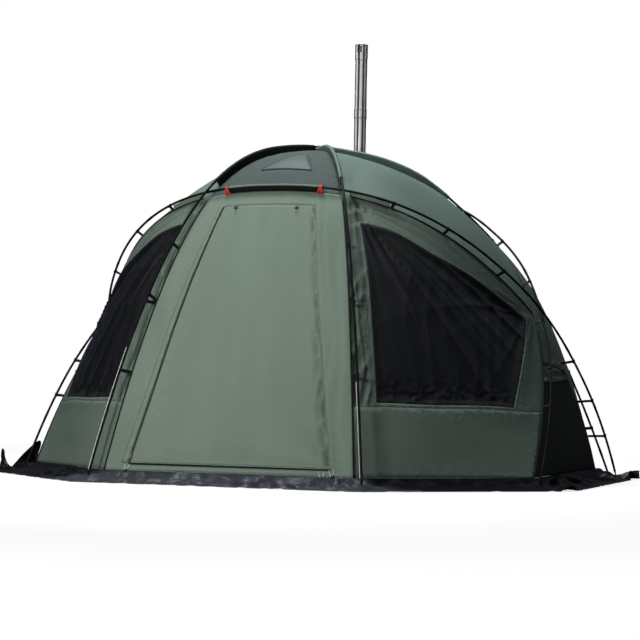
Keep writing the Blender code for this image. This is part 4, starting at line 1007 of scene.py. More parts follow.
square = [share_at(PIPE[0] + i * JACK_HALF, PIPE[1] + j * JACK_HALF)
          for i, j in ((-1, -1), (1, -1), (1, 1), (-1, 1))]
square = divide(square + [square[0]], roof.scale, 0.02)[:-1]
turns = [2 * math.pi * i / 40 for i in range(40)]
pipe_hole = [share_at(PIPE[0] + JACK_HOLE * math.cos(a), PIPE[1] + JACK_HOLE * math.sin(a)) for a in turns]
piece = sewn("roof_rear_cloth", roof, roof.ring(STEP), [square], STEP, soft(0.3, 0.003, 61.0),
             material=roof_cloth)
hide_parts("roof_rear")
declare(piece)
jack_cloth = woven("heat-proof jack cloth", (0.10, 0.10, 0.095), 0.15, 0.6)
piece = sewn("stove_jack_cloth", roof, square, [pipe_hole], 0.012, soft(0.05, 0.002, 62.0), 0.0015,
             jack_cloth)
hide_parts("stove_jack")
declare(piece)

# Door zip: black tape sewn up the door's left edge and along its bottom, bound in green.
# A row of moulded teeth runs along the middle of the tape.
BINDING = 0.0014
BAND_HALF = 0.0036
TOOTH_HALF_WIDE, TOOTH_HALF_LONG, TOOTH_TALL = 0.0026, 0.0020, 0.0022
zip_tape, tree, shader = node_material("black zip tape")
_, mix, _ = speckle(tree, shader, (0.010, 0.010, 0.011), 0.3, 30.0, 0.55, 0.1, 0.5, 600.0)
edge = put(tree, "Attribute", attribute_name="edge")
bound = put(tree, "Math", {1: BINDING, 0: edge.outputs["Fac"]}, operation="LESS_THAN")
binding = put(tree, "Mix", {"B": (*GREEN, 1), "Factor": bound.outputs["Value"], "A": mix.outputs["Result"]},
              data_type="RGBA")
tree.links.new(binding.outputs["Result"], shader.inputs["Base Color"])
piece = sewn("door_zip_tape", front, zip_cut, [], 0.008, None, material=zip_tape)
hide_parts("door_zip")
declare(piece)
zip_middle = [(u - ZIP_SHARE / 2, v) for u, v in left_line[:-1]]
zip_middle += [(u, v - ZIP_SHARE / 2) for u, v in low_line]
teeth = even(front.at(np.array(zip_middle)), 0.006)
band = np.array([p + outward(p) * 0.0010 for p in teeth])
zip_black = painted("black zip coil", (0.005, 0.005, 0.005), 0.3, 60.0, 0.55, 0.1, 0.5, 900.0, shine=0.2)
sideways = [np.cross(w, outward(p)) for w, p in zip(np.gradient(band, axis=0), band)]
ribbon("door_zip_band", band, sideways, BAND_HALF, 0.0011, zip_black)
verts, faces = [], []
for p, q in zip(teeth[:-1], teeth[1:]):
    way, face = unit(q - p), outward(p)
    across = np.cross(way, face)
    base = len(verts)
    for h in (0.0, TOOTH_TALL):
        for i, j in ((-1, -1), (1, -1), (1, 1), (-1, 1)):
            verts.append(p + across * i * TOOTH_HALF_WIDE + way * j * TOOTH_HALF_LONG + face * h)
    faces += [(base, base + 1, base + 5, base + 4), (base + 1, base + 2, base + 6, base + 5),
              (base + 2, base + 3, base + 7, base + 6), (base + 3, base, base + 4, base + 7),
              (base + 4, base + 5, base + 6, base + 7), (base + 3, base + 2, base + 1, base)]
piece = dress(mesh_object("door_zip_teeth", verts, faces), zip_black, smooth=False)

# Snow skirt: black ripstop sewn to the hem, it lies crumpled on the ground all round, painted lighter and
# glossier in front of the door where light falls on it. The wind has turned up its edge in a few places.
SKIRT_WIDTH = 0.275
SKIRT_STEP = 0.012
SKIRT_LOW = 0.0047
KNEE = 0.072
CURL_REACH = 0.55
LIT_SKIRT_BACK, LIT_SKIRT_FRONT = -1.25, -1.38
skirt_cloth, tree, shader = node_material("black ripstop skirt")
place, mix, relief = speckle(tree, shader, (0.0040, 0.0045, 0.0065), 0.35, 5.0, 0.42, 0.06, 0.5, 70.0)
# painted light: in front of the door the colour is lifted to a blue-grey and the gloss raised, as a pool of
# light on the skirt
apart = put(tree, "SeparateXYZ", {"Vector": place.outputs["Object"]})
lit_front = put(tree, "MapRange", {"From Min": LIT_SKIRT_BACK, "From Max": LIT_SKIRT_FRONT, "Value": apart.outputs["Y"]})
lit_skirt_tone = put(tree, "Mix", {"A": mix.outputs["Result"], "B": (0.032, 0.034, 0.044, 1),
                         "Factor": lit_front.outputs["Result"]}, data_type="RGBA")
gloss = put(tree, "MapRange", {"To Min": 0.04, "To Max": 0.22, "Value": lit_front.outputs["Result"]})
tree.links.new(gloss.outputs["Result"], shader.inputs["Specular IOR Level"])
tree.links.new(lit_skirt_tone.outputs["Result"], shader.inputs["Base Color"])
crushed = relief
for cells, deep, lean in ((5.0, 0.022, 0.5), (11.0, 0.012, -0.6)):
    slanted = put(tree, "Mapping", {"Rotation": (0.0, 0.0, lean), "Scale": (0.35, 1.6, 1.0),
                                    "Vector": place.outputs["Object"]})
    facets = put(tree, "TexVoronoi", {"Scale": cells, "Vector": slanted.outputs["Vector"]})
    crushed = put(tree, "Bump", {"Strength": 0.8, "Distance": deep, "Height": facets.outputs["Distance"],
                                 "Normal": crushed.outputs["Normal"]})
tree.links.new(crushed.outputs["Normal"], shader.inputs["Normal"])
order = ("F1", "F2", "F3", "F4", "F7", "F8")
mitre = {}
for before, corner, after in zip(order[-1:] + order[:-1], order, order[1:] + order[:1]):
    sides = [unit(spots[corner] - spots[before]), unit(spots[after] - spots[corner])]
    sides = [np.array((w[1], -w[0], 0.0)) for w in sides]
    middle = unit(sides[0] + sides[1])
    mitre[corner] = middle * SKIRT_WIDTH / (middle @ sides[0])
hem, outer, corner_at = [], [], {}
for a, b in zip(order, order[1:] + order[:1]):
    n = int(round(edge_length(a, b) / SKIRT_STEP))
    corner_at[a] = len(hem)
    hem += [edge_at(a, b, i / n) for i in range(n)]
    outer += [edge_at(a, b, i / n) + mitre[a] * (1 - i / n) + mitre[b] * i / n for i in range(n)]
count = len(hem)
around = count * SKIRT_STEP
spread = np.array(outer) - np.array(hem)
# where the wind has turned up the cloth: corner, distance after it, half length, rise, pull inward
curls = (("F8", 0.0, 0.13, 0.150, 0.26), ("F8", -0.34, 0.13, 0.190, 0.45), ("F3", 0.0, 0.08, 0.03, 0.05),
         ("F4", 0.0, 0.09, 0.055, 0.06), ("F4", -0.26, 0.10, 0.060, 0.10))


def crumple(p, drop):
    # straight creases in patches, each patch folded its own way
    tall = 0.0
    for k in range(9):
        turn = 0.35 + k * 2.2
        size = 0.030 / (1 + 0.35 * (k % 5))
        patch = noise.noise(Vector((p[0] * 2.2 + k * 7, p[1] * 2.2 - k * 5, k * 3.0)))
        x = (p[0] * math.cos(turn) + p[1] * math.sin(turn)) / (size * 7.0) + k * 0.37
        x += 0.45 * noise.noise(Vector((p[0] * 3.0, p[1] * 3.0, 20.0 + k)))
        tall += size * 1.3 * max(0.0, patch + 0.10) * (1 - 4 * abs(x % 1.0 - 0.5))
    return tall * drop


verts, uvs = [], []
profile = ((0.0, 0.0695), (0.004, 0.066), (0.012, 0.060), (0.024, 0.052), (0.036, 0.045), (0.048, 0.039),
           (0.060, 0.034), (KNEE, 0.029))
profile += tuple((KNEE + (SKIRT_WIDTH - KNEE) * x, 0.027 - 0.0225 * x) for x in np.linspace(0, 1, 19)[1:])
for r, z in profile:
    far = r / SKIRT_WIDTH
    for i in range(count):
        pull = 1.0 + 0.018 * noise.noise(Vector((i * 0.03, 3.0, 0.0))) * far
        rise = 0.0
        for corner, shift, half, tall, inward in curls:
            away = (i - corner_at[corner]) * SKIRT_STEP - shift
            away = abs((away + around / 2) % around - around / 2) / half
            if far > CURL_REACH and away < 1:
                part = (far - CURL_REACH) / (1 - CURL_REACH)
                rise += tall * part ** 1.3 * (1 - away ** 2)
                pull -= inward * part ** 2 * (1 - away ** 2)
        p = hem[i] + spread[i] * far * pull
        grow = min(1.0, r / 0.03) * (1 - 0.75 * far ** 6)
        height = max(SKIRT_LOW, z + crumple(p, grow) + rise)
        verts.append((p[0], p[1], height))
        uvs.append((i * SKIRT_STEP, r))
skirt = mesh_object("snow_skirt_cloth", verts, grid_faces(len(profile), count, closed=True, flip=True), uvs)
thicken(skirt, CLOTH_THICK)
dress(skirt, skirt_cloth)
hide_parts("snow_skirt")
run = sum(edge_length(a, b) for a, b in zip(order, order[1:] + order[:1]))

# Roof sleeves: dark webs sewn to the ridges with a tunnel for the pole, and a short one over the brow
# with a red pull tab at each end.
web_cloth = woven("dark web cloth", (0.012, 0.016, 0.012), 0.25, 0.75, False, shine=0.2)
tunnel_cloth = woven("green tunnel cloth", (0.150, 0.205, 0.165), 0.10, 0.75, False)
# painted light: the rear sleeves get a far lighter copy of the tunnel green, standing in for light on them
# where the roof shades them from the lamps
lit_rear_tunnel_cloth = woven("rear tunnel cloth with painted light", (0.31, 0.395, 0.33), 0.10, 0.75, False)
TUNNEL = 0.0108
SLEEVE_STEP = 0.018
SLEEVE_THICK = 0.0009
WEB_HALF, WEB_LIFT = 0.0022, 0.0006
SLOT_HALF = 0.16
SLOT_SIDES = 16
GREEN_TOP = -0.30
SPLIT_TURN = 3.60


def sleeve(name, a, b, t0, t1, node, green_top=GREEN_TOP, split=False):
    keep = np.linspace(t0, t1, int(edge_length(a, b) * (t1 - t0) / SLEEVE_STEP))
    verts, uvs, n = [], [], SLOT_SIDES
    for k, x in enumerate(keep):
        (p, way), q = pole_over(a, b, x), edge_at(a, b, x)
        f = unit(q - p)
        across = unit(np.cross(way, f))
        wrinkle = 0.0012 * math.sin(k * 1.9) + 0.0008 * math.sin(k * 0.7)
        rings = [q - f * WEB_LIFT + across * WEB_HALF]
        for i in range(n + 1):
            angle = SLOT_HALF + (2 * math.pi - 2 * SLOT_HALF) * i / n
            rings.append(p + (f * math.cos(angle) + across * math.sin(angle))
                         * (TUNNEL + wrinkle * math.sin(angle)))
        rings.append(q - f * WEB_LIFT - across * WEB_HALF)
        verts += rings
        uvs += [(k * SLEEVE_STEP, i * 0.006) for i in range(len(rings))]
    m = n + 3
    obj = mesh_object(name, verts, grid_faces(len(keep), m), uvs)
    face_out(obj)
    thicken(obj, SLEEVE_THICK, 0.0)
    dress(obj, tunnel_cloth)
    obj.data.materials.append(web_cloth)
    for k, poly in enumerate(obj.data.polygons):
        turn = SLOT_HALF + (2 * math.pi - 2 * SLOT_HALF) * (k % (m - 1) - 0.5) / n
        poly.material_index = 0 if (turn < SPLIT_TURN if split else math.cos(turn) < green_top) else 1
    # painted light: a green_top above 1 makes the whole sleeve green, in the lightened rear tunnel cloth
    if green_top > 1:
        obj.data.materials[0] = lit_rear_tunnel_cloth
    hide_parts(node)


sleeve("front_sleeve_cloth_left", "BL", "TOP", 0.10, 0.985, "front_sleeve_left", split=True)
sleeve("front_sleeve_cloth_right", "BR", "TOP", 0.10, 0.985, "front_sleeve_right", split=True)
sleeve("rear_sleeve_cloth_right", "TOP", "KR", 0.015, 0.92, "rear_sleeve_right", 2.0)
sleeve("rear_sleeve_cloth_left", "TOP", "KL", 0.015, 0.92, "rear_sleeve_left", 2.0)
sleeve("brow_sleeve_cloth", "BL", "BR", 0.16, 0.84, "brow_sleeve")
WEB_START, WEB_END = 0.03, 0.19
for side, a, b in (("left", "BL", "XL"), ("right", "BR", "XR")):
    shares = np.linspace(WEB_START, WEB_END, 24)
    verts, uvs = [], []
    for x in shares:
        p, q = pole_over(a, b, x)[0], edge_at(a, b, x)
        f = unit(q - p)
        low, high = q - f * 0.001, p + f * 0.0095
        for i in range(6):
            along = (x - WEB_START) / (WEB_END - WEB_START)
            slack = 0.004 * math.sin(i / 5 * math.pi) * math.sin(along * math.pi * 3)
            verts.append(low + (high - low) * i / 5 + np.array((0, slack, 0)))
            uvs.append((x * edge_length(a, b), i * 0.01))
    web = mesh_object("brow_web_cloth_" + side, verts, grid_faces(len(shares), 6, flip=True), uvs)
    if web.data.polygons[60].normal[2] < 0:
        web.data.flip_normals()
    thicken(web, SLEEVE_THICK).material_offset = 1
    dress(web, web_cloth)
    web.data.materials.append(tunnel_cloth)
    tall = edge_length(a, b) * (WEB_END - WEB_START)

# Pole clips: moulded black hooks that snap over the poles below the sleeves.
# Each has a flat tail that is sewn into the seam under the pole.
clip_plastic = painted("moulded black clip", (0.006, 0.006, 0.0065), 0.25, 60.0, 0.5, 0.08, 0.3, 500.0,
                       shine=0.15)
HOOK_WIDTH, HOOK_RADIUS, HOOK_TAIL = 0.020, 0.0108, 0.004
HOOK_START, HOOK_OPEN = 0.2, 2.5
HOOK_GAP, HOOK_END = 0.0009, 0.0006
CLIP_SPACING = 0.095


def hook(p, q, way):
    # a moulded hook round the pole at p, with its flat tail at the seam point q
    f = unit(q - p)
    across = unit(np.cross(way, f))
    inner = POLE_RADIUS + HOOK_GAP
    length = np.linalg.norm(q - p)
    outline = [(length - HOOK_END, HOOK_TAIL * 0.5)]
    for i in range(13):
        angle = HOOK_START + (HOOK_OPEN - HOOK_START) * i / 12
        outline.append((math.cos(angle) * HOOK_RADIUS, math.sin(angle) * HOOK_RADIUS))
    for i in range(25):
        angle = HOOK_OPEN - 2 * HOOK_OPEN * i / 24
        outline.append((math.cos(angle) * inner, math.sin(angle) * inner))
    for i in range(13):
        angle = HOOK_OPEN - (HOOK_OPEN - HOOK_START) * i / 12
        outline.append((math.cos(angle) * HOOK_RADIUS, -math.sin(angle) * HOOK_RADIUS))
    outline.append((length - HOOK_END, -HOOK_TAIL * 0.5))
    verts = [p + f * x + across * y + way * s * HOOK_WIDTH / 2 for s in (-1, 1) for x, y in outline]
    n = len(outline)
    faces = [(i, (i + 1) % n, n + (i + 1) % n, n + i) for i in range(n)]
    faces += [tuple(range(n))[::-1], tuple(range(n, 2 * n))]
    return verts, faces


def clip(name, node, a, b, x, spread=0.0):
    verts, faces = [], []
    for shift in ((-spread, spread) if spread else (0.0,)):
        p, way = pole_over(a, b, x + shift / edge_length(a, b), 0.003)
        q = edge_at(a, b, x + shift * 0.25 / edge_length(a, b))
        way = unit(way - unit(q - p) * (way @ unit(q - p)))
        v, f = hook(p, q, way)
        faces += [tuple(i + len(verts) for i in g) for g in f]
        verts += v
    obj = mesh_object(name, verts, faces)
    face_out(obj)
    bevel = obj.modifiers.new("moulded edge", "BEVEL")
    bevel.width = 0.0006
    bevel.segments = 1
    dress(obj, clip_plastic, smooth=False)
    if node:
        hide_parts(node)


def cad_share(a, b, x):
    # the clips sit at the middle of the sewn interval that their solids use
    n = max(4, round(edge_length(a, b) / CLIP_SPACING))
    return (min(n - 1, max(0, math.ceil(x * n) - 1)) + 0.5) / n


for side, low, brow, cross, shoulder in (("left", "F1", "BL", "XL", "F8"), ("right", "F2", "BR", "XR", "F3")):
    for i, x in enumerate((0.80, 0.31)):
        clip(f"front_hook_{side}_{i + 1}", f"front_clip_{side}_{i + 1}", low, brow, cad_share(low, brow, x))
    clip(f"front_fan_hook_{side}", f"front_fan_clip_{side}", low, brow, cad_share(low, brow, 0.58), 0.026)
    for i, x in enumerate((0.20, 0.45, 0.72)):
        clip(f"brow_hook_{side}_{i + 1}", f"brow_clip_{side}_{i + 1}", brow, cross, cad_share(brow, cross, x))
    for i, x in enumerate((0.42, 0.65, 0.95)):
        clip(f"rear_hook_{side}_{i + 1}", f"rear_clip_{side}_{i + 1}", shoulder, cross,
             cad_share(shoulder, cross, x))

for side, cross, rear, hem_corner in (("left", "XL", "KL", "F7"), ("right", "XR", "KR", "F4")):
    for i, x in enumerate((0.16, 0.42, 0.66, 0.86)):
        clip(f"rear_arch_hook_{side}_{i + 1}", None, rear, hem_corner, x)
    for i, x in enumerate((0.30, 0.55, 0.78)):
        clip(f"brow_foot_hook_{side}_{i + 1}", None, cross, hem_corner, x)
    for i, x in enumerate((0.25, 0.60)):
        clip(f"rear_brow_hook_{side}_{i + 1}", None, cross, rear, x)
for i, x in enumerate((0.15, 0.38, 0.62, 0.85)):
    clip(f"rear_top_hook_{i + 1}", None, "KL", "KR", x)

# Red pull tabs: a folded loop of red webbing over the brow pole at each end of its short sleeve.
# Its two layers hang below the pole, one a little wider and longer than the other.
red = painted("red webbing tab", (0.58, 0.026, 0.012), 0.2, 60.0, 0.6, 0.1, 0.6, 900.0)
TAB_HALF = 0.0085
TAB_WRAP, TAB_LAYER, TAB_THICK = 0.0130, 0.0022, 0.0018
for side, spot, lean in (("left", 0.155, -1), ("right", 0.845, 1)):
    (p, way), q = pole_over("BL", "BR", spot), edge_at("BL", "BR", spot)
    f = unit(q - p)
    front_way = np.cross(way, f)
    front_way = front_way if front_way[1] < 0 else -front_way
    for k, (shift, low_end, tilt) in enumerate(((0.003, 0.95, 0.34), (-0.003, 0.85, -0.30))):
        wrap = TAB_WRAP + TAB_LAYER * k
        ring = [p - f * math.sin(a) * wrap + front_way * math.cos(a) * wrap
                for a in np.linspace(math.pi, 0, 13)]
        drop = [ring[-1] + f * x + front_way * 0.004 * math.sin(x * 90) + way * (tilt * lean) * x
                for x in (0.012, 0.023, 0.034, 0.045 * low_end)]
        rise = [ring[0] + f * x for x in (0.030, 0.018, 0.008)]
        path = np.array(rise + ring + drop) + way * (shift * lean)
        ribbon(f"red_tab_{side}_{k + 1}", path, [way] * len(path), TAB_HALF * (1 - 0.15 * k), TAB_THICK, red)

# Front seams: black piping down the front edges and shoulders, painted highlights beside the front poles,
# the storm flap beside the zip, and small loops and cords with toggles that hold the rolled door.
PIPING_RADIUS, PIPING_LIFT = 0.0048, 0.0016
piping = painted("black seam piping", (0.005, 0.006, 0.005), 0.3, 40.0, 0.6, 0.1, 0.5, 700.0, shine=0.2)
for name, a, b, t0, t1 in (("left", "F1", "BL", 0.0, 0.97), ("right", "F2", "BR", 0.0, 0.97),
                           ("shoulder_right", "F3", "XR", 0.0, 0.9), ("shoulder_left", "F8", "XL", 0.0, 0.9),
                           ("brow_right", "BR", "XR", 0.04, 0.98), ("brow_left", "BL", "XL", 0.04, 0.98)):
    pts = edge_at(a, b, np.linspace(t0, t1, 90))
    pts = np.array([p + outward(p) * PIPING_LIFT for p in pts])
    tube("seam_piping_" + name, pts, PIPING_RADIUS, 8, piping)
HIGHLIGHT_RADIUS = 0.0022
HIGHLIGHT_SHIFT = unit((-1.0, -0.35, 0.0)) * 0.0092
TOGGLE_RADII = (0.003, 0.007, 0.0085, 0.0085, 0.007, 0.003)
white_cord_and_highlight = painted("white cord and painted pole highlight", (0.80, 0.80, 0.77), 0.25, 60.0, 0.4, 0.1, 0.5, 1200.0)
# painted highlight: a thin white tube beside the lower part of each front pole, shifted toward the light,
# stands in for the pole's highlight
for name, a, b, end in (("left", "F1", "BL", 0.40), ("right", "F2", "BR", 0.30)):
    pts = [pole_over(a, b, x)[0] + HIGHLIGHT_SHIFT for x in np.linspace(0.0, end, 80)]
    tube("painted_highlight_line_" + name, pts, HIGHLIGHT_RADIUS, 8, white_cord_and_highlight)
flap_outer = [(u - 0.034, v) for u, v in left_line]
flap_inner = rounded([(u - ZIP_SHARE, v) for u, v in left_line], front.scale, STEP)


def storm_folds(uv, metres, edge):
    ripple = creased(metres[:, 1] * 30 + 9 * waves(metres, (0.1, 0.2), 8.0))
    return 0.0045 + 0.003 * np.clip(edge / 0.01, 0, 1) * ripple


piece = sewn("storm_flap", front, flap_inner + flap_outer[::-1], [], 0.012, storm_folds, material=green_cloth)
declare(piece)
stitches("storm_flap_stitches", front, [(u - 0.031, v) for u, v in left_line], thread_green, 0.010, 0.007,
         0.0016, 0.0070)
stitches("door_top_stitches", front, [(u, v + 0.006) for u, v in top_line], thread_green, 0.010, 0.007,
         0.0018, 0.0008)


def door_spot(u, v):
    # a place on the door wall, and the ways across, out and up there
    c = front_at(u, v)
    way, face = unit(front_at(u + 0.01, v) - c), outward(c)
    tall = np.cross(face, way)
    return c, way, face, (tall if tall[2] > 0 else -tall)


TIE_RADIUS, CORNER_CORD_RADIUS = 0.0018, 0.0017
hardware = painted("dark grey toggle", (0.012, 0.014, 0.013), 0.3, 80.0, 0.35, 0.1, 0.2, 500.0)
for i, spot in enumerate(((0.273, 0.930), (0.692, 0.926))):
    c, way, face, tall = door_spot(*spot)
    loop = [c + face * (0.004 + 0.004 * math.sin(x)) + tall * (0.016 * math.cos(x) + 0.004)
            + way * 0.006 * math.sin(x * 2) for x in np.linspace(0, math.pi, 14)]
    tube(f"door_tie_loop_{i + 1}", loop, TIE_RADIUS, 8, piping)
    bead = [c + face * 0.010 - tall * (0.012 + x) for x in (0.0, 0.0015, 0.004, 0.012, 0.0145, 0.016)]
    tube(f"door_tie_toggle_{i + 1}", bead, TOGGLE_RADII, 12, hardware)
CORNER_CORDS = ((0.082, 0.020, 0.30), (0.905, 0.022, -0.2), (0.862, 0.016, 0.5))
for i, (u, v, lean) in enumerate(CORNER_CORDS):
    c, way, face, tall = door_spot(u, v)
    tall = unit(tall)
    loop = [c + face * (0.003 + 0.020 * math.sin(x)) - tall * (0.030 * math.sin(x) + 0.006 * math.sin(2 * x))
            + way * (0.016 * (1 - math.cos(x)) + 0.012 * lean * math.sin(x))
            for x in np.linspace(0, math.pi, 18)]
    tube(f"door_corner_cord_{i + 1}", loop, CORNER_CORD_RADIUS, 8, white_cord_and_highlight)
    low = loop[9]
    bead = [low + face * 0.003 - tall * (x - 0.004) for x in (0.0, 0.0015, 0.004, 0.013, 0.0155, 0.017)]
    tube(f"door_corner_toggle_{i + 1}", bead, TOGGLE_RADII, 12, hardware)

# Foot straps: flat black webbing from under the skirt to each pole foot, doubled and stitched round the
# hole, with a brass eyelet where the pole's pin goes in.
webbing, tree, shader = node_material("black webbing")
_, _, relief = speckle(tree, shader, (0.014, 0.014, 0.014), 0.3, 40.0, 0.7, 0.1, 0.6, 700.0)
rib_way = put(tree, "UVMap")
ribs = put(tree, "TexWave", {"Scale": 55.0, "Distortion": 0.4, "Vector": rib_way.outputs["UV"]})
rib_bump = put(tree, "Bump", {"Strength": 0.4, "Distance": 0.001, "Height": ribs.outputs["Fac"],
                              "Normal": relief.outputs["Normal"]})
tree.links.new(rib_bump.outputs["Normal"], shader.inputs["Normal"])
STRAP_HALF, STRAP_BACK, STRAP_Z, STRAP_THICK = 0.017, 0.030, 0.0044, 0.0022
for label, corner, feet in (("front_left", "F1", [("A", -1)]), ("front_right", "F2", [("B", -1)]),
                            ("side_right", "F3", [("D", 1)]), ("side_left", "F8", [("D", -1)]),
                            ("rear_right", "F4", [("A", 1), ("C", 1)]),
                            ("rear_left", "F7", [("B", 1), ("C", -1)])):
    places = [np.append(arch(key, end)[:2], 0.0) for key, end in feet]
    mid = sum(places) / len(places)
    inward = unit((spots[corner] - mid) * np.array((1, 1, 0)))
    across = np.array((-inward[1], inward[0], 0.0))
    half = STRAP_HALF + np.linalg.norm(places[0] - places[-1]) / 2
    verts, uvs, rings = [], [], 12
    for x in np.linspace(-STRAP_HALF, STRAP_BACK, rings):
        wide = half if x > 0 else half - STRAP_HALF + math.sqrt(max(0.0, STRAP_HALF ** 2 - x * x))
        for y in np.linspace(-1, 1, 9):
            sag = 0.0005 * noise.noise(Vector((x * 60, y * 4, corner_at[corner])))
            verts.append(mid + inward * x + across * y * wide + np.array((0, 0, STRAP_Z + sag)))
            uvs.append((x, y * wide))
    piece = mesh_object("foot_webbing_" + label, verts, grid_faces(rings, 9, flip=True), uvs)
    face_out(piece)
    thicken(piece, STRAP_THICK, 0.0)
    dress(piece, webbing)
    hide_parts("foot_strap_" + label)
EYELET_RADIUS, EYELET_RIM, EYELET_Z = 0.0125, 0.0042, 0.0078
brass = painted("brass eyelet", (0.72, 0.52, 0.16), 0.2, 60.0, 0.28, 0.08, 0.2, 500.0, 1.0)
for name, foot in (("front_left", arch("A", -1)), ("rear_right", arch("A", 1)),
                   ("front_right", arch("B", -1)), ("rear_left", arch("B", 1)), ("side_right", arch("D", 1)),
                   ("side_left", arch("D", -1))):
    centre = np.array((foot[0], foot[1], EYELET_Z))
    verts, faces, n, m = [], [], 28, 10
    for i in range(n):
        a = 2 * math.pi * i / n
        for j in range(m):
            b = 2 * math.pi * j / m
            rr = EYELET_RADIUS + EYELET_RIM * math.cos(b)
            verts.append(centre + np.array((rr * math.cos(a), rr * math.sin(a), STRAP_THICK * math.sin(b))))
            after, beside = (i + 1) % n, (j + 1) % m
            faces.append((i * m + j, after * m + j, after * m + beside, i * m + beside))
    piece = dress(mesh_object("eyelet_" + name, verts, faces), brass)

# Stove pipe: stainless tube in sections with a bell joint and a slotted spark arrestor on top, which
# has a drum of sooty wire mesh inside it. The stove below is matt black sheet iron.
MESH_RADIUS, BEAD_RADIUS = 0.0365, 0.0427
MESH_RELIEF, BEAD_BULGE = 0.0004, 0.0007
JOINT_LOW, JOINT_HIGH = 2.363, 2.422
steel, tree, shader = node_material("stainless pipe with painted reflections")
place, mix, _ = speckle(tree, shader, (0.97, 0.97, 0.96), 0.04, 14.0, 0.26, 0.05, 0.12, 200.0, 0.30)
# painted reflection: light and dark bands round the pipe, multiplied into its colour, stand in for the
# reflections on the polished tube
axis = put(tree, "Mapping", {"Location": (-PIPE[0], -PIPE[1], 0.0), "Vector": place.outputs["Object"]})
turn = put(tree, "TexGradient", {"Vector": axis.outputs["Vector"]}, gradient_type="RADIAL")
around = put(tree, "CombineXYZ", {"X": turn.outputs["Fac"]})
reflection_bands = put(tree, "TexWave", {"Scale": 2.6, "Distortion": 1.6, "Detail Scale": 3.0,
                                "Vector": around.outputs["Vector"]})
reflection_tones = put(tree, "ValToRGB")
reflection_tones.color_ramp.elements[0].position = 0.33
reflection_tones.color_ramp.elements[0].color = (0.06, 0.06, 0.058, 1)
reflection_tones.color_ramp.elements[1].position = 0.47
reflection_tones.color_ramp.elements[1].color = (1.0, 1.0, 0.99, 1)
tree.links.new(reflection_bands.outputs["Fac"], reflection_tones.inputs["Fac"])
painted_reflection = put(tree, "Mix", {"Factor": 1.0, "A": mix.outputs["Result"], "B": reflection_tones.outputs["Color"]},
              data_type="RGBA", blend_type="MULTIPLY")
tree.links.new(painted_reflection.outputs["Result"], shader.inputs["Base Color"])
soot = painted("sooty spark mesh", (0.006, 0.006, 0.006), 0.4, 40.0, 0.8, 0.1, 0.6, 500.0)
steel_dark = painted("heat-dulled steel bead", (0.10, 0.10, 0.10), 0.3, 60.0, 0.35, 0.1, 0.3, 500.0, 0.7)
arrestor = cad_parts["spark_arrestor"]
top = max((arrestor.matrix_world @ Vector(c))[2] for c in arrestor.bound_box)
for name, body, low, high, radius, rings, paint in (
    ("spark_mesh", "arrestor", top - 0.062, top - 0.008, MESH_RADIUS, 24, soot),
    ("arrestor_rim", "arrestor", top - 0.0065, top - 0.0025, BEAD_RADIUS, 6, steel_dark),
    ("upper_joint_bead", "pipe_top", JOINT_HIGH - 0.005, JOINT_HIGH - 0.001, BEAD_RADIUS, 6, steel_dark),
    ("lower_joint_bead", "pipe_top", JOINT_LOW + 0.001, JOINT_LOW + 0.005, BEAD_RADIUS, 6, steel_dark),
):
    verts, n, wire = [], 48, paint is soot
    for k, z in enumerate(np.linspace(low, high, rings)):
        bulge = MESH_RELIEF * (k % 2) if wire else BEAD_BULGE * math.sin(k / (rings - 1) * math.pi)
        for i in range(n):
            a = 2 * math.pi * i / n
            reach_out = radius + bulge + (MESH_RELIEF * (i % 2) if wire else 0.0)
            verts.append((PIPE[0] + reach_out * math.cos(a), PIPE[1] + reach_out * math.sin(a), z))
    piece = dress(mesh_object(name, verts, grid_faces(rings, n, closed=True)), paint, body)
iron = painted("matt black stove iron", (0.02, 0.02, 0.02), 0.3, 12.0, 0.6, 0.1, 0.4, 120.0, 0.3)
metal_parts = {"pipe_lower": steel, "pipe_upper": steel, "spark_arrestor": steel, "zip_slider": steel_dark,
               "stove": iron}
for node, paint in metal_parts.items():
    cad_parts[node].data.materials.clear()
    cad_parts[node].data.materials.append(paint)

# Ground and light: a white floor that keeps the tent's shadow, a big lamp in front and to the left of
# the door, a softer one over the roof and a weak sky all round.
FLOOR_NEAR, FLOOR_FAR = 3.2, 7.0
SHINE_LOW, SHINE_HIGH = 0.25, 0.75
SKY_BLUE = (0.80, 0.88, 1.0, 1)
FLOOR_HALF, FLOOR_Z = 40, -0.0005
floor_corners = [(x * FLOOR_HALF, y * FLOOR_HALF, FLOOR_Z) for x, y in ((-1, -1), (1, -1), (1, 1), (-1, 1))]
floor = mesh_object("floor", floor_corners, [(0, 1, 2, 3)])
floor_white, tree, shader = node_material("white floor")
tree.nodes.remove(shader)
ray = put(tree, "LightPath")
place = put(tree, "TexCoord")
away = put(tree, "VectorMath", {0: place.outputs["Object"]}, operation="LENGTH")
far = put(tree, "MapRange", {"From Min": FLOOR_NEAR, "From Max": FLOOR_FAR, "Value": away.outputs["Value"]})
lit = put(tree, "BsdfDiffuse", {"Color": (0.5, 0.5, 0.5, 1)})
glow = put(tree, "Emission", {"Strength": 0.78})
near = put(tree, "AddShader", {0: lit.outputs["BSDF"], 1: glow.outputs["Emission"]})
pure = put(tree, "Emission")
faded = put(tree, "MixShader", {"Fac": far.outputs["Result"], 1: near.outputs["Shader"],
                                2: pure.outputs["Emission"]})
matt = put(tree, "BsdfDiffuse", {"Color": (0.24, 0.24, 0.24, 1)})
seen = put(tree, "MixShader", {"Fac": ray.outputs["Is Camera Ray"], 1: matt.outputs["BSDF"],
                               2: faded.outputs["Shader"]})
tree.links.new(seen.outputs["Shader"], tree.nodes["Material Output"].inputs["Surface"])
floor.data.materials.append(floor_white)

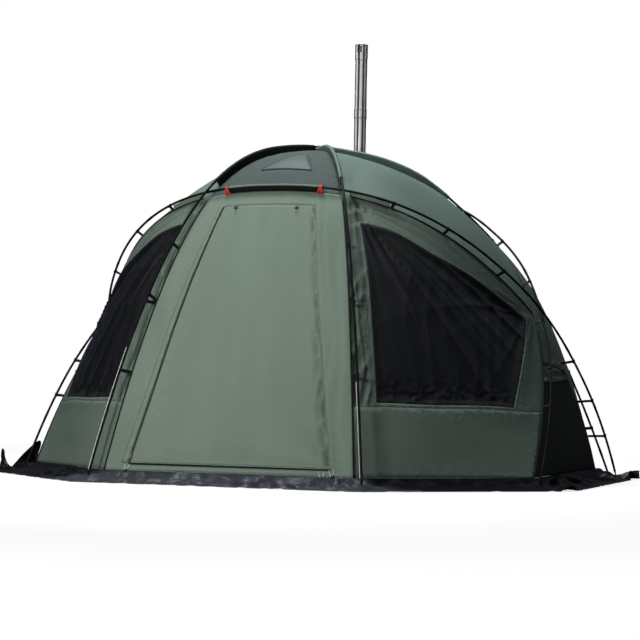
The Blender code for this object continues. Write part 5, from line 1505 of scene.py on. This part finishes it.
world = bpy.data.worlds.new("sky")
bpy.context.scene.world = world
world.use_nodes = True
tree = world.node_tree
sky = tree.nodes["Background"]
sky.inputs["Color"].default_value = SKY_BLUE
sky.inputs["Strength"].default_value = 0.10
plain = put(tree, "Background", {"Color": (1, 1, 1, 1)})
shone = put(tree, "Background", {"Color": SKY_BLUE})
place = put(tree, "TexCoord")
apart = put(tree, "SeparateXYZ", {"Vector": place.outputs["Generated"]})
height = put(tree, "MapRange", {"From Min": SHINE_LOW, "From Max": SHINE_HIGH, "To Min": 0.02, "To Max": 0.60,
                                "Value": apart.outputs["Z"]})
tree.links.new(height.outputs["Result"], shone.inputs["Strength"])
ray = put(tree, "LightPath")
clear = put(tree, "Math", {0: ray.outputs["Is Camera Ray"], 1: ray.outputs["Is Transmission Ray"]},
            operation="MAXIMUM")
mirrored = put(tree, "MixShader", {"Fac": ray.outputs["Is Glossy Ray"], 1: sky.outputs["Background"],
                                   2: shone.outputs["Background"]})
mixed = put(tree, "MixShader", {"Fac": clear.outputs["Value"], 1: mirrored.outputs["Shader"],
                                2: plain.outputs["Background"]})
tree.links.new(mixed.outputs["Shader"], tree.nodes["World Output"].inputs["Surface"])

for name, place, aim, size, watts, beam, color in (
    ("front lamp", (-0.9, -4.6, 1.95), (0.0, -1.1, 0.8), 0.9, 104.0, 180, (1.0, 0.985, 0.96)),
    ("roof lamp", (-0.3, -0.4, 5.4), (0.0, 0.1, 1.6), 1.8, 62.0, 110, (0.93, 0.98, 1.0)),
    ("rear lamp", (-1.2, 5.6, 2.4), (0.0, 0.8, 0.9), 2.0, 80.0, 180, (0.95, 0.98, 1.0)),
):
    lamp_data = bpy.data.lights.new(name, "AREA")
    lamp_data.energy = watts
    lamp_data.size = size
    lamp_data.color = color
    lamp_data.spread = math.radians(beam)
    lamp = bpy.data.objects.new(name, lamp_data)
    bpy.context.scene.collection.objects.link(lamp)
    lamp.location = place
    lamp.rotation_euler = (Vector(aim) - Vector(place)).to_track_quat("-Z", "Y").to_euler()
    lamp.visible_camera = False
